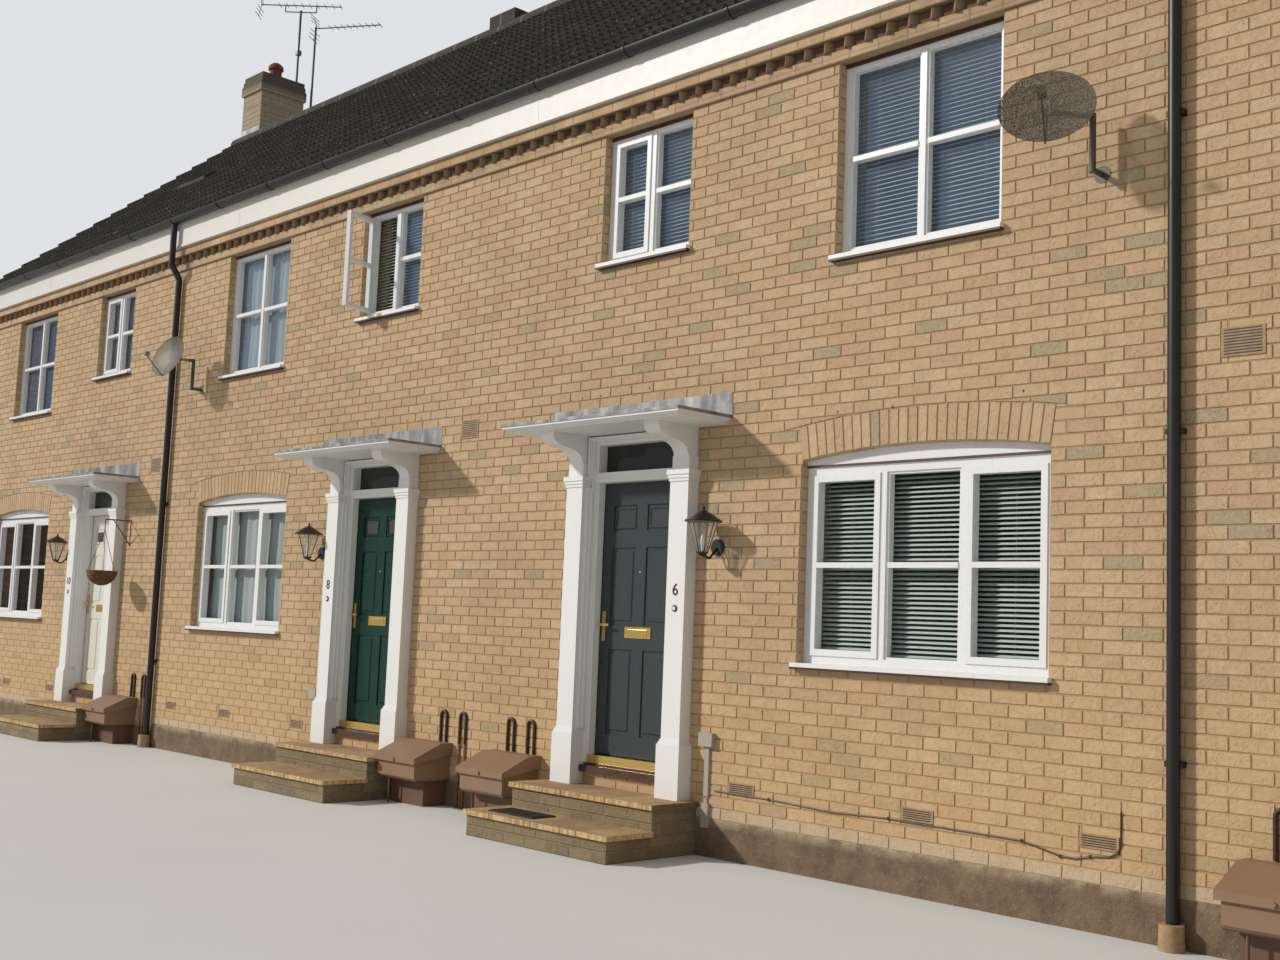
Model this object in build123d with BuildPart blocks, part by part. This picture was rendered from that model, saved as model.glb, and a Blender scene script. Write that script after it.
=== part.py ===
from build123d import *
import math
import os

# Row of four two-storey terraced houses in yellow brick.
# Millimetres, +X along the row seen from the street, +Y into the houses, +Z up.
# The origin lies on the paving line under the middle of the row.

# Row and walls
house_width = 5700
house_depth = 7000
wall_thickness = 300
party_thickness = 250
houses = ((10, "right"), (8, "right"), (6, "left"), (4, "left"))

# Storeys
ground_floor_top = 555
ground_floor_thickness = 150
first_floor_top = 3120
first_floor_thickness = 240
ceiling_drop = 470
ceiling_thickness = 120

# Brick sizes
course = 75
brick_pitch = 225
tooth_side = 102.5
tooth_pitch = 166.4
tooth_bed = 8

# Windows
wide_ground_axis = 1620
wide_ground_width = 1775
wide_ground_sill = 1310
wide_ground_height = 1290
arch_rise = 65
wide_upper_axis = 1675
wide_upper_width = 1210
wide_upper_sill = 3910
narrow_axis = 1640
narrow_width = 910
narrow_sill = 4200
frame_setback = 65
frame_depth = 60
frame_border = 62
arch_board_height = 45
mullion_width = 72
bar_width = 34
bead_width = 15
bead_step = 12
sash_lap = 12
sash_stile = 30
sash_proud = 9
glass_thickness = 5
glass_lap = 42
sill_height = 40
sill_projection = 50
sill_overhang = 22
open_house = 1
casement_angle = 72
casement_stile = 38
casement_thickness = 42
hinge_strip = 28

# Blinds and curtains
blind_gap = 22
rail_height = 30
slat_width = 25
slat_sheet = 3
curtain_gap = 45
curtain_fold = 9
curtain_folds = 6
curtain_thickness = 3

# Front doors
door_axis = 1650
doorway_width = 910
doorway_bottom = 440
doorway_head = 2875
leaf_height = 1970
leaf_thickness = 44
leaf_setback = 80
hinge_gap = 6
lock_gap = 9
jamb_width = 42
stop_width = 14
transom_height = 75
head_height = 55
door_sill_height = 60
door_sill_reach = 45
threshold_gap = 6
panel_margin = 105
panel_recess = 9
field_rise = 7
field_margin = 24
field_taper = 55
panel_rows = ((150, 610), (940, 560))
glazed_row = (1625, 186)
handle_level = 925
handle_inset = 48
plate_height = 220
plate_width = 36
plate_thickness = 6
handle_reach = 46
handle_length = 109
handle_bar = 18
slot_level = 885
slot_width = 268
slot_height = 80
architrave_steps = ((20, 62), (32, 34))
hinge_knuckle_radius = 8
hinge_knuckle_height = 50
hinge_plate = 3
hinge_plate_width = 32
hinge_levels = (200, 985, 1720)
running_gap = 0.3

# Door surround
pilaster_width = 175
pilaster_depth = 105
pilaster_top = 2585
base_width = 218
base_depth = 130
base_height = 395
base_steps = ((14, 16), (7, 16))
cap_steps = ((7, 22), (13, 24), (20, 34))
neck_height = 95
neck_inset = 8
console_width = 140
console_top_reach = 395
console_fillet = 22
console_eye = 26
console_eye_rise = 9
console_groove = 5
canopy_width = 1830
canopy_depth = 525
canopy_underside = 2885
canopy_thickness = 58
canopy_steps = ((38, 14), (20, 14), (0, 30))
flashing_height = 165
flashing_thickness = 5
lead_overhang = 7
lead_drip = 16

# Steps
step_width = 1430
upper_step_top = 348
upper_step_reach = 420
lower_step_top = 178
lower_step_reach = 820
slab_thickness = 34
slab_nosing = 22

# Roof, eaves and rainwater goods
roof_pitch = 40.1
eaves_reach = 155
tile_edge_height = 5790
tile_thickness = 35
tile_courses = 15
tile_lap = 25
top_course = 23
roof_thickness = 130
ridge_radius = 115
ridge_bed = 22
ridge_crown = 42
fascia_reach = 95
fascia_height = 350
fascia_bead = (8, 26)
cornice_height = 240
string_reach = 25
tooth_reach = 58
top_course_reach = 66
gutter_radius = 56
gutter_wall = 4
gutter_drop = 40
pipe_radius = 34
pipe_standoff = 52
pipe_bracket_levels = (900, 2600, 4300)
pipe_bracket_width = 96
pipe_bracket_height = 30
socket_height = 130
socket_radius = 62
socket_offset = 14
ring_reach = 3
ring_height = 45

# Chimney and roof fittings
chimney_width = 560
chimney_depth = 740
chimney_rise = 1015
chimney_inset = 70
crown_steps = (28, 28, 14, 0)
groove_below_crown = 225
groove_depth = 10
apron_height = 150
apron_thickness = 6
pot_radius = 100
pot_height = 300
cap_radius = 118
ridge_terminal = (4620, 500, 105)
vent_tile = (8610, 750, 1400, 320, 60)

# Television aerials, with places measured from the chimney's right rear corner and the ridge
mast_radius = 19
mast_gap = 110
tall_mast = (-465, 690, 2415)
short_mast = (35, 380, 1995)
arm_radius = 13
crank_reach = 180
boom_half = 470
joint_drop = 760
boom_radius = 9
element_radius = 5
element_count = 9
director_length = 190
reflector_length = 330

# Satellite dishes
dish_places = ((1, 564, 4112, 8), (2, 576, 4375, 24))
dish_radius = 243
dish_stretch = 1.07
dish_sag = 38
dish_thickness = 4
dish_reach = 350
dish_tilt = 16
dish_foot_drop = 300
dish_arm_radius = 16
feed_reach = 300
feed_radius = 26

# Lanterns, from the door axis and the brick face
lantern_offset = 836
lantern_axis_reach = 160
lantern_bottom = 1984
lantern_eave = 2215
lantern_top = 2318
lantern_base_radius = 40
lantern_eave_radius = 128
lantern_bar_radius = 4
lantern_bars = 6
lantern_plate_level = 2050
lantern_plate_radius = 56

# Hanging basket
basket_offset = 845
basket_reach = 300
basket_rim = 1870
basket_radius = 165
basket_depth = 165
basket_wall = 8
basket_hook = 2326
basket_plate = (2163, 2458)
basket_bar_radius = 7
chain_radius = 3

# Meter boxes, service pipes, cable boxes and air bricks
meter_places = ((630, 474, 220), (630, 474, 220), (474, 389, 629), (630, 530, 770))
meter_width = 560
meter_depth = 378
meter_top = 500
meter_front = 385
meter_bottom = 200
meter_lid = 45
meter_lid_flat = 120
meter_inset = 26
meter_base = (440, 230)
meter_leg = (8, 130, 75)
meter_knob = (13, 12)
hairpin_width = 75
hairpin_top = 750
hairpin_radius = 13
cable_offset = 810
cable_box = (122, 722, 810, 45)
cable_duct = (60, 190, 350, 30)
cable_lead = (14, 350, 722, 14)
air_brick_height = 75
air_brick_proud = 8
low_air_bricks = (2760, 4130)
last_air_brick = 425
low_air_level = 470
high_air_offset = 340
high_air_level = 3058
high_air_height = 150

# Values worked out from the sizes above
fascia_bottom = tile_edge_height - fascia_height
cornice_bottom = fascia_bottom - cornice_height
ceiling_underside = tile_edge_height - ceiling_drop
gutter_top = tile_edge_height - gutter_drop
row_length = house_width * len(houses)
row_left = -row_length / 2
front_face = -house_depth / 2
rear_face = house_depth / 2
roof_rise = math.tan(math.radians(roof_pitch))
ridge_height = tile_edge_height + (house_depth / 2 + eaves_reach) * roof_rise
chimney_left = row_left + chimney_inset
chimney_right = chimney_left + chimney_width
chimney_top = ridge_height + chimney_rise
wall_top = tile_edge_height + eaves_reach * roof_rise - roof_thickness
window_top = cornice_bottom
narrow_ground_top = wide_ground_sill + wide_ground_height
frame_top_ground = wide_ground_sill + wide_ground_height - arch_board_height
leaf_width = doorway_width - 2 * jamb_width - hinge_gap - lock_gap
leaf_bottom = ground_floor_top + 10
leaf_top = leaf_bottom + leaf_height
cap_bottom = pilaster_top - sum(height for reach, height in cap_steps)
standing = (Align.CENTER, Align.CENTER, Align.MIN)

os.makedirs("parts", exist_ok=True)


def save(piece, name):
    piece.label = name
    export_step(piece, f"parts/{name}.step")


def block(x0, x1, y0, y1, z0, z1, mode=Mode.ADD):
    with Locations(((x0 + x1) / 2, (y0 + y1) / 2, (z0 + z1) / 2)):
        Box(x1 - x0, y1 - y0, z1 - z0, mode=mode)


def blocks(extents, mode=Mode.ADD):
    """Blocks of any sizes, put in or cut out in one step."""
    solids = [
        Solid.make_box(x1 - x0, y1 - y0, z1 - z0, Plane((x0, y0, z0)))
        for x0, x1, y0, y1, z0, z1 in extents
    ]
    add(solids, mode=mode)


def rod(start, end, radius):
    """Round bar between two points."""
    run = Vector(end) - Vector(start)
    return Solid.make_cylinder(radius, run.length, Plane(Vector(start), z_dir=run))


def house_left(index):
    return row_left + index * house_width


def door_side(index):
    return houses[index][1]


def from_party(index, axis, near_door):
    """Place of a window or door axis, measured from the party wall on its own side of the house."""
    on_right = (door_side(index) == "right") == near_door
    left = house_left(index)
    return left + house_width - axis if on_right else left + axis


def beside_door(index, distance):
    """Place at a distance from the party line on the door side of a house."""
    if door_side(index) == "left":
        return house_left(index) + distance
    return house_left(index) + house_width - distance


def door_x(index):
    return from_party(index, door_axis, True)


def narrow_x(index):
    return from_party(index, narrow_axis, True)


def wide_upper_x(index):
    return from_party(index, wide_upper_axis, False)


def wide_ground_x(index):
    return from_party(index, wide_ground_axis, False)


house_range = range(len(houses))


def underside(y):
    """Height of the roof's underside over a line at y."""
    return ridge_height - abs(y) * roof_rise - roof_thickness


# Walls

def arched_hole(x, y0, y1):
    """Hole for a ground window and its sill, with a flat segmental head."""
    half = wide_ground_width / 2
    low = wide_ground_sill - sill_height
    spring = wide_ground_sill + wide_ground_height
    with BuildSketch(Plane.XZ.offset(-y1)) as opening:
        with BuildLine():
            Line((x - half, spring), (x - half, low))
            Line((x - half, low), (x + half, low))
            Line((x + half, low), (x + half, spring))
            ThreePointArc((x + half, spring), (x, spring + arch_rise), (x - half, spring))
        make_face()
    extrude(opening.sketch, amount=y1 - y0, mode=Mode.SUBTRACT)


def square_hole(x, width, sill, top, y0, y1):
    """Extent of the hole for a square-headed window and its sill."""
    return x - width / 2, x + width / 2, y0, y1, sill - sill_height, top


def front_wall_panel(x0, x1, name):
    y0, y1 = front_face, front_face + wall_thickness
    holes = []
    with BuildPart() as panel:
        block(x0, x1, y0, y1, 0, wall_top)
        for index in house_range:
            if x0 < wide_ground_x(index) < x1:
                arched_hole(wide_ground_x(index), y0, y1)
                x = wide_upper_x(index)
                holes.append(square_hole(x, wide_upper_width, wide_upper_sill, window_top, y0, y1))
            if x0 - narrow_width < narrow_x(index) < x1 + narrow_width:
                holes.append(square_hole(narrow_x(index), narrow_width, narrow_sill, window_top, y0, y1))
        blocks(holes, Mode.SUBTRACT)
    save(panel.part, name)


def front_walls():
    edges = [row_left + party_thickness]
    for index in house_range:
        edges += [door_x(index) - doorway_width / 2, door_x(index) + doorway_width / 2]
    edges.append(-row_left - party_thickness)
    for number in range(len(houses) + 1):
        front_wall_panel(edges[2 * number], edges[2 * number + 1], f"front_wall_{number + 1}")


def door_gap(index):
    """Edges of the gap in the front wall at a door."""
    return door_x(index) - doorway_width / 2, door_x(index) + doorway_width / 2


def over_door_walls():
    y0, y1 = front_face, front_face + wall_thickness
    with BuildPart() as walls:
        blocks([(*door_gap(index), y0, y1, doorway_head, wall_top) for index in house_range])
        blocks(
            [
                square_hole(narrow_x(index), narrow_width, narrow_sill, window_top, y0, y1)
                for index in house_range
            ],
            Mode.SUBTRACT,
        )
    save(walls.part, "over_door_walls")


def threshold_walls():
    y0, y1 = front_face, front_face + wall_thickness
    with BuildPart() as walls:
        blocks([(*door_gap(index), y0, y1, 0, doorway_bottom) for index in house_range])
    save(walls.part, "threshold_walls")


def rear_wall():
    y0, y1 = rear_face - wall_thickness, rear_face
    holes = []
    for index in house_range:
        holes.append(square_hole(wide_upper_x(index), wide_upper_width, wide_upper_sill, window_top, y0, y1))
        holes.append(square_hole(narrow_x(index), narrow_width, narrow_sill, window_top, y0, y1))
        holes.append(square_hole(door_x(index), narrow_width, wide_ground_sill, narrow_ground_top, y0, y1))
    with BuildPart() as wall:
        block(row_left + party_thickness, -row_left - party_thickness, y0, y1, 0, wall_top)
        for index in house_range:
            arched_hole(wide_ground_x(index), y0, y1)
        blocks(holes, Mode.SUBTRACT)
    save(wall.part, "rear_wall")


def gable_wall(x0, x1, reach):
    """Cross wall from x0 to x1 that reaches as far as y = +-reach and follows the roof's underside."""
    with BuildSketch(Plane.YZ.offset(x0)) as gable:
        Polygon(
            (-reach, 0), (reach, 0), (reach, underside(reach)), (0, underside(0)), (-reach, underside(reach)),
            align=None,
        )
    extrude(gable.sketch, amount=x1 - x0)


def end_walls():
    with BuildPart() as left_end:
        gable_wall(row_left, row_left + party_thickness, house_depth / 2)
    save(left_end.part, "left_end_wall")
    with BuildPart() as right_end:
        gable_wall(-row_left - party_thickness, -row_left, house_depth / 2)
    save(right_end.part, "right_end_wall")


def party_walls():
    with BuildPart() as walls:
        for index in house_range[1:]:
            x = house_left(index)
            gable_wall(x - party_thickness / 2, x + party_thickness / 2, house_depth / 2 - wall_thickness)
    save(walls.part, "party_walls")


def room_span(index):
    """Inner faces of the cross walls of one house."""
    left, right = house_left(index), house_left(index) + house_width
    first = party_thickness if index == 0 else party_thickness / 2
    last = party_thickness if index == len(houses) - 1 else party_thickness / 2
    return left + first, right - last


def floor_slabs(top, thickness, name):
    inner = house_depth / 2 - wall_thickness
    with BuildPart() as floors:
        blocks([(*room_span(index), -inner, inner, top - thickness, top) for index in house_range])
    save(floors.part, name)


# Roof, eaves and rainwater goods

def tile_line(y):
    return ridge_height - abs(y) * roof_rise


def course_line(side):
    """Lapped tile courses up one slope, where each tail lies on the tile line and covers the head below."""
    edge = house_depth / 2 + eaves_reach
    gauge = (edge - top_course) / tile_courses
    points = []
    for number in range(tile_courses):
        tail = edge - number * gauge
        head = tail - gauge
        points += [(side * tail, tile_line(tail)), (side * head, tile_line(head) - tile_lap)]
    return points + [(side * top_course, tile_line(top_course))]


def roof_slope(side, name):
    """One slope from the tile edge over the gutter up to the ridge. Side is -1 at the street, 1 at the back."""
    edge = house_depth / 2 + eaves_reach
    face = house_depth / 2
    with BuildPart() as slope:
        with BuildSketch(Plane.YZ.offset(row_left)):
            Polygon(
                *course_line(side), (0, ridge_height), (0, ridge_height - roof_thickness),
                (side * face, wall_top), (side * face, tile_line(face) - tile_thickness),
                (side * edge, tile_line(edge) - tile_thickness),
                align=None,
            )
        extrude(amount=row_length)
        if side == -1:
            vent_hood()
    save(slope.part, name)


def vent_hood():
    """Raised ventilating tile on the street slope."""
    left, width, reach, length, rise = vent_tile
    low_y = front_face + reach
    high_y = low_y + length
    with BuildSketch(Plane.YZ.offset(-left - width / 2)) as hood:
        Polygon(
            (low_y, tile_line(low_y) - tile_thickness), (low_y, tile_line(low_y) + rise),
            (high_y, tile_line(high_y)), (high_y, tile_line(high_y) - tile_thickness),
            align=None,
        )
    extrude(hood.sketch, amount=width)


def ridge_tiles():
    """Half-round ridge bedded over both slopes, cut to the pitch beneath, with a ventilating terminal."""
    half = ridge_radius + ridge_bed
    shoulder = tile_line(half) + ridge_bed
    crown = ridge_height + ridge_crown
    left, width, rise = ridge_terminal
    with BuildPart() as ridge:
        with BuildSketch(Plane.YZ.offset(row_left)):
            with BuildLine():
                Line((-half, tile_line(half)), (0, ridge_height))
                Line((0, ridge_height), (half, tile_line(half)))
                Line((half, tile_line(half)), (half, shoulder))
                ThreePointArc((half, shoulder), (0, crown), (-half, shoulder))
                Line((-half, shoulder), (-half, tile_line(half)))
            make_face()
        extrude(amount=row_length)
        blocks([(-left - width / 2, -left + width / 2, -half * 0.75, half * 0.75, ridge_height, crown + rise)])
        blocks(
            [(chimney_left - apron_thickness, chimney_right + apron_thickness, -apron_thickness,
              chimney_depth, ridge_height - 2 * half, chimney_top)],
            Mode.SUBTRACT,
        )
        with BuildSketch(Plane.YZ.offset(-left - width)) as below:
            Polygon((-half, tile_line(half)), (0, ridge_height), (half, tile_line(half)), align=None)
        extrude(below.sketch, amount=2 * width, mode=Mode.SUBTRACT)
    save(ridge.part, "ridge_tiles")


def fascias():
    """Boxed boards between the cornice and the tiles, front and back."""
    face = house_depth / 2
    reach = face + fascia_reach
    with BuildPart() as boards:
        for side in (-1, 1):
            with BuildSketch(Plane.YZ.offset(row_left)):
                Polygon(
                    (side * reach, fascia_bottom), (side * reach, tile_line(reach) - tile_thickness),
                    (side * face, tile_line(face) - tile_thickness), (side * face, fascia_bottom),
                    align=None,
                )
            extrude(amount=row_length)
            bead_reach, bead_height = fascia_bead
            low, high = sorted((side * reach, side * (reach + bead_reach)))
            blocks([(row_left, -row_left, low, high, fascia_bottom, fascia_bottom + bead_height)])
    save(boards.part, "fascias")


def tooth_line():
    """Plan of the dog-tooth course: bricks turned by 45 degrees, one corner of each out past the wall."""
    count = round(row_length / tooth_pitch)
    step = row_length / count
    valley = tooth_reach - step / 2
    bed = front_face - max(valley, tooth_bed)
    half = tooth_reach - max(valley, tooth_bed)
    points = [(row_left, front_face), (row_left, bed)]
    for number in range(count):
        middle = row_left + (number + 0.5) * step
        points += [(middle - half, bed), (middle, front_face - tooth_reach), (middle + half, bed)]
    return points + [(-row_left, bed), (-row_left, front_face)]


def street_cornice():
    """String course, dog-tooth course, and the top course that carries the fascia."""
    string_top = cornice_bottom + course
    teeth_top = string_top + course
    with BuildPart() as cornice:
        blocks([
            (row_left, -row_left, front_face - string_reach, front_face, cornice_bottom, string_top),
            (row_left, -row_left, front_face - top_course_reach, front_face, teeth_top, fascia_bottom),
        ])
        with BuildSketch(Plane.XY.offset(string_top)) as teeth:
            Polygon(*tooth_line(), align=None)
        extrude(amount=course)
    save(cornice.part, "street_cornice")


def rear_cornice():
    with BuildPart() as cornice:
        block(row_left, -row_left, rear_face, rear_face + string_reach, cornice_bottom,
              cornice_bottom + 2 * course)
        block(row_left, -row_left, rear_face, rear_face + top_course_reach, cornice_bottom + 2 * course,
              fascia_bottom)
    save(cornice.part, "rear_cornice")


def gutter_centre(side):
    return side * (house_depth / 2 + fascia_reach + gutter_radius)


def gutters():
    """Half-round channels with stop ends."""
    with BuildPart() as channels:
        for side in (-1, 1):
            with BuildSketch(Plane.YZ.offset(row_left)):
                with Locations((gutter_centre(side), gutter_top)):
                    Circle(gutter_radius)
                    Circle(gutter_radius - gutter_wall, mode=Mode.SUBTRACT)
                    Rectangle(3 * gutter_radius, gutter_radius, align=(Align.CENTER, Align.MIN),
                              mode=Mode.SUBTRACT)
            extrude(amount=row_length)
            for x in (row_left, -row_left - gutter_wall):
                with BuildSketch(Plane.YZ.offset(x)):
                    with Locations((gutter_centre(side), gutter_top)):
                        Circle(gutter_radius)
                        Rectangle(3 * gutter_radius, gutter_radius, align=(Align.CENTER, Align.MIN),
                                  mode=Mode.SUBTRACT)
                extrude(amount=gutter_wall)
    save(channels.part, "gutters")


def pipe_places():
    """One downpipe on each outer party line between two houses."""
    return (house_left(1), house_left(len(houses) - 1))


def downpipes(side, name):
    """Pipe from the gutter outlet past the cornice, back to the wall in a swan neck and down to its socket."""
    outlet = gutter_centre(side)
    face = side * house_depth / 2
    wall_line = side * (house_depth / 2 + pipe_standoff)
    half = pipe_bracket_width / 2
    with BuildPart() as pipes:
        for x in pipe_places():
            with BuildLine():
                FilletPolyline(
                    (x, outlet, gutter_top - gutter_radius), (x, outlet, cornice_bottom + pipe_standoff),
                    (x, wall_line, cornice_bottom - 2 * pipe_standoff), (x, wall_line, socket_height),
                    radius=pipe_standoff,
                )
            with BuildSketch(Plane((x, outlet, gutter_top - gutter_radius), z_dir=(0, 0, -1))):
                Circle(pipe_radius)
            sweep()
            blocks([
                (x - half, x + half, min(face, wall_line), max(face, wall_line), level,
                 level + pipe_bracket_height)
                for level in pipe_bracket_levels
            ])
    save(pipes.part, name)


def pipe_sockets():
    """Ringed clay sockets that take the downpipes at the ground."""
    with BuildPart() as sockets:
        for side in (-1, 1):
            y = side * (house_depth / 2 + pipe_standoff + socket_offset)
            for x in pipe_places():
                with Locations((x, y, 0)):
                    Cylinder(socket_radius, socket_height, align=standing)
                    Cylinder(socket_radius + ring_reach, ring_height, align=standing)
    save(sockets.part, "clay_sockets")


# Chimney

def chimney():
    """Stack with a corbelled crown that steps back in towards its top, and a sunk line below it."""
    body_top = chimney_top - len(crown_steps) * course
    groove = body_top - groove_below_crown
    with BuildPart() as stack:
        with BuildSketch(Plane.YZ.offset(chimney_left)):
            Polygon(
                (0, tile_line(0)), (0, body_top), (chimney_depth, body_top),
                (chimney_depth, tile_line(chimney_depth)),
                align=None,
            )
        extrude(amount=chimney_width)
        blocks([
            (chimney_left - reach, chimney_right + reach, -reach, chimney_depth + reach,
             body_top + step * course, body_top + (step + 1) * course)
            for step, reach in enumerate(crown_steps)
        ])
        top = groove + groove_depth
        blocks([
            (chimney_left, chimney_right, 0, groove_depth, groove, top),
            (chimney_left, chimney_right, chimney_depth - groove_depth, chimney_depth, groove, top),
            (chimney_left, chimney_left + groove_depth, 0, chimney_depth, groove, top),
            (chimney_right - groove_depth, chimney_right, 0, chimney_depth, groove, top),
        ], Mode.SUBTRACT)
    save(stack.part, "chimney_stack")


def chimney_pot():
    """Round pot with a rolled rim under a domed cap."""
    middle = (chimney_left + chimney_right) / 2
    rim = pot_height * 0.62
    with BuildPart() as pot:
        with BuildSketch(Plane.XZ.offset(-chimney_depth / 2)):
            with Locations((middle, chimney_top)):
                Polygon(
                    (0, 0), (pot_radius, 0), (pot_radius * 0.92, rim), (cap_radius, rim + ring_reach),
                    (cap_radius, rim + ring_height), (cap_radius * 0.88, rim + 1.6 * ring_height),
                    (cap_radius * 0.5, pot_height - ring_reach), (0, pot_height),
                    align=None,
                )
        revolve(axis=Axis((middle, chimney_depth / 2, 0), (0, 0, 1)))
    save(pot.part, "chimney_pot")


# Windows

def frame_y():
    return house_depth / 2 - frame_setback


def light_extents(x, width, sill, top, lights):
    """Clear left and right edge of each light of a window."""
    clear = (width - 2 * frame_border - (lights - 1) * mullion_width) / lights
    for light in range(lights):
        left = x - width / 2 + frame_border + light * (clear + mullion_width)
        yield left, left + clear


def frame_extent(x0, x1, side, z0, z1, proud, depth):
    """Extent of a piece of joinery that stands proud of the frame's face and reaches back into it."""
    outer = side * (frame_y() + proud)
    inner = side * (frame_y() - depth)
    return x0, x1, min(outer, inner), max(outer, inner), z0, z1


def light_blocks(left, right, sill, top, side, opens):
    """Blocks to add and to cut for one light: a proud sash if it opens, a sunk bead if it is fixed."""
    low, high = sill + frame_border, top - frame_border
    middle = (low + high) / 2
    bar_low, bar_high = middle - bar_width / 2, middle + bar_width / 2
    if opens:
        lap = sash_lap
        added = [frame_extent(left - lap, right + lap, side, low - lap, high + lap, sash_proud, 0)]
        left, right, low, high = left + sash_stile, right - sash_stile, low + sash_stile, high - sash_stile
        cut = []
    else:
        edge = bead_width
        cut = [frame_extent(left - edge, right + edge, side, low - edge, high + edge, 0, bead_step)]
        added = [frame_extent(left, right, side, bar_low, bar_high, 0, bead_step)]
    for z0, z1 in ((low, bar_low), (bar_high, high)):
        cut.append(frame_extent(left, right, side, z0, z1, sash_proud, frame_depth))
    return added, cut


def window_blocks(x, width, sill, top, side, opening):
    """Whole frame of one window. Opening holds True for each light that opens, from left to right."""
    whole = [frame_extent(x - width / 2, x + width / 2, side, sill, top, 0, frame_depth)]
    rebates, proud, panes = [], [], []
    for (left, right), opens in zip(light_extents(x, width, sill, top, len(opening)), opening):
        added, cut = light_blocks(left, right, sill, top, side, opens)
        proud += added
        if opens:
            panes += cut
        else:
            rebates.append(cut[0])
            panes += cut[1:]
    return whole, rebates, proud, panes


def window_frames(windows):
    """Frames of many windows, each kind of block put in or cut out in one step."""
    groups = [[], [], [], []]
    for window in windows:
        for group, extents in zip(groups, window_blocks(*window)):
            group += extents
    whole, rebates, proud, panes = groups
    blocks(whole)
    if rebates:
        blocks(rebates, Mode.SUBTRACT)
    blocks(proud)
    blocks(panes, Mode.SUBTRACT)


def arch_board(x, side):
    """Cambered board that fills the arch over a ground window."""
    spring = wide_ground_sill + wide_ground_height
    half = wide_ground_width / 2
    outer = side * (frame_y() + sash_proud)
    inner = side * (frame_y() - frame_depth)
    with BuildSketch(Plane.XZ.offset(-max(outer, inner))) as board:
        with BuildLine():
            Line((x - half, spring), (x - half, frame_top_ground))
            Line((x - half, frame_top_ground), (x + half, frame_top_ground))
            Line((x + half, frame_top_ground), (x + half, spring))
            ThreePointArc((x + half, spring), (x, spring + arch_rise), (x - half, spring))
        make_face()
    extrude(board.sketch, amount=abs(outer - inner))


def ground_window_frames():
    """Three-light frames with a fixed middle light between two casements."""
    opening = (True, False, True)
    windows = [
        (wide_ground_x(index), wide_ground_width, wide_ground_sill, frame_top_ground, side, opening)
        for side in (-1, 1)
        for index in house_range
    ]
    with BuildPart() as frames:
        window_frames(windows)
        for side in (-1, 1):
            for index in house_range:
                arch_board(wide_ground_x(index), side)
    save(frames.part, "ground_window_frames")


def upper_window_frames():
    windows = [
        (wide_upper_x(index), wide_upper_width, wide_upper_sill, window_top, side, (False, False))
        for side in (-1, 1)
        for index in house_range
    ]
    with BuildPart() as frames:
        window_frames(windows)
    save(frames.part, "upper_window_frames")


def narrow_window_frames():
    """Two-light frames. The left light opens, and that of the second house stands open."""
    windows = []
    for index in house_range:
        windows.append((narrow_x(index), narrow_width, narrow_sill, window_top, -1, (True, False)))
        windows.append((narrow_x(index), narrow_width, narrow_sill, window_top, 1, (False, True)))
        windows.append((door_x(index), narrow_width, wide_ground_sill, narrow_ground_top, 1, (False, True)))
    x = narrow_x(open_house)
    left, right = next(light_extents(x, narrow_width, narrow_sill, window_top, 2))
    low, high = narrow_sill + frame_border, window_top - frame_border
    with BuildPart() as frames:
        window_frames(windows)
        blocks([
            frame_extent(left, right, -1, low, high, sash_proud, frame_depth),
            frame_extent(left - sash_lap, right + sash_lap, -1, low - sash_lap, high + sash_lap, sash_proud, 0),
        ], Mode.SUBTRACT)
    save(frames.part, "narrow_window_frames")


def open_casement():
    """Casement hinged at its left edge, standing open over the sill."""
    left, right = next(light_extents(narrow_x(open_house), narrow_width, narrow_sill, window_top, 2))
    clear = right - left
    height = window_top - narrow_sill - 2 * frame_border
    pane = height / 2 - casement_stile - bar_width / 2
    low = narrow_sill + frame_border
    angle = math.radians(casement_angle)
    hinge = (left - sash_lap, -frame_y() - sash_proud, low)
    plane = Plane(origin=hinge, x_dir=(math.cos(angle), -math.sin(angle), 0), z_dir=(0, 0, 1))
    with BuildPart() as sash:
        with BuildSketch(plane):
            with Locations((clear / 2, 0)):
                Rectangle(clear, casement_thickness)
        extrude(amount=height)
        for offset in (casement_stile, height / 2 + bar_width / 2):
            with BuildSketch(plane.offset(offset)):
                with Locations((clear / 2, 0)):
                    Rectangle(clear - 2 * casement_stile, casement_thickness)
            extrude(amount=pane, mode=Mode.SUBTRACT)
        block(left - hinge_strip, left, -frame_y() - 1.5 * sash_proud, -frame_y(), low, low + height)
    save(sash.part, "open_casement")


def window_places(side):
    """Axis, width, sill and top of every window of one side."""
    for index in house_range:
        yield wide_ground_x(index), wide_ground_width, wide_ground_sill, frame_top_ground
        yield wide_upper_x(index), wide_upper_width, wide_upper_sill, window_top
        yield narrow_x(index), narrow_width, narrow_sill, window_top
        if side == 1:
            yield door_x(index), narrow_width, wide_ground_sill, narrow_ground_top


def window_sills():
    """Sills through the full wall, with a nose that overhangs the brickwork at both ends."""
    noses, bodies = [], []
    for side in (-1, 1):
        outer = side * (house_depth / 2 + sill_projection)
        face = side * house_depth / 2
        inner = side * (house_depth / 2 - wall_thickness)
        for x, width, sill, top in window_places(side):
            half = width / 2
            reach = half + sill_overhang
            noses.append((x - reach, x + reach, min(outer, face), max(outer, face), sill - sill_height, sill))
            bodies.append((x - half, x + half, min(face, inner), max(face, inner), sill - sill_height, sill))
    with BuildPart() as sills:
        blocks(noses)
        blocks(bodies)
    save(sills.part, "window_sills")


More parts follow.
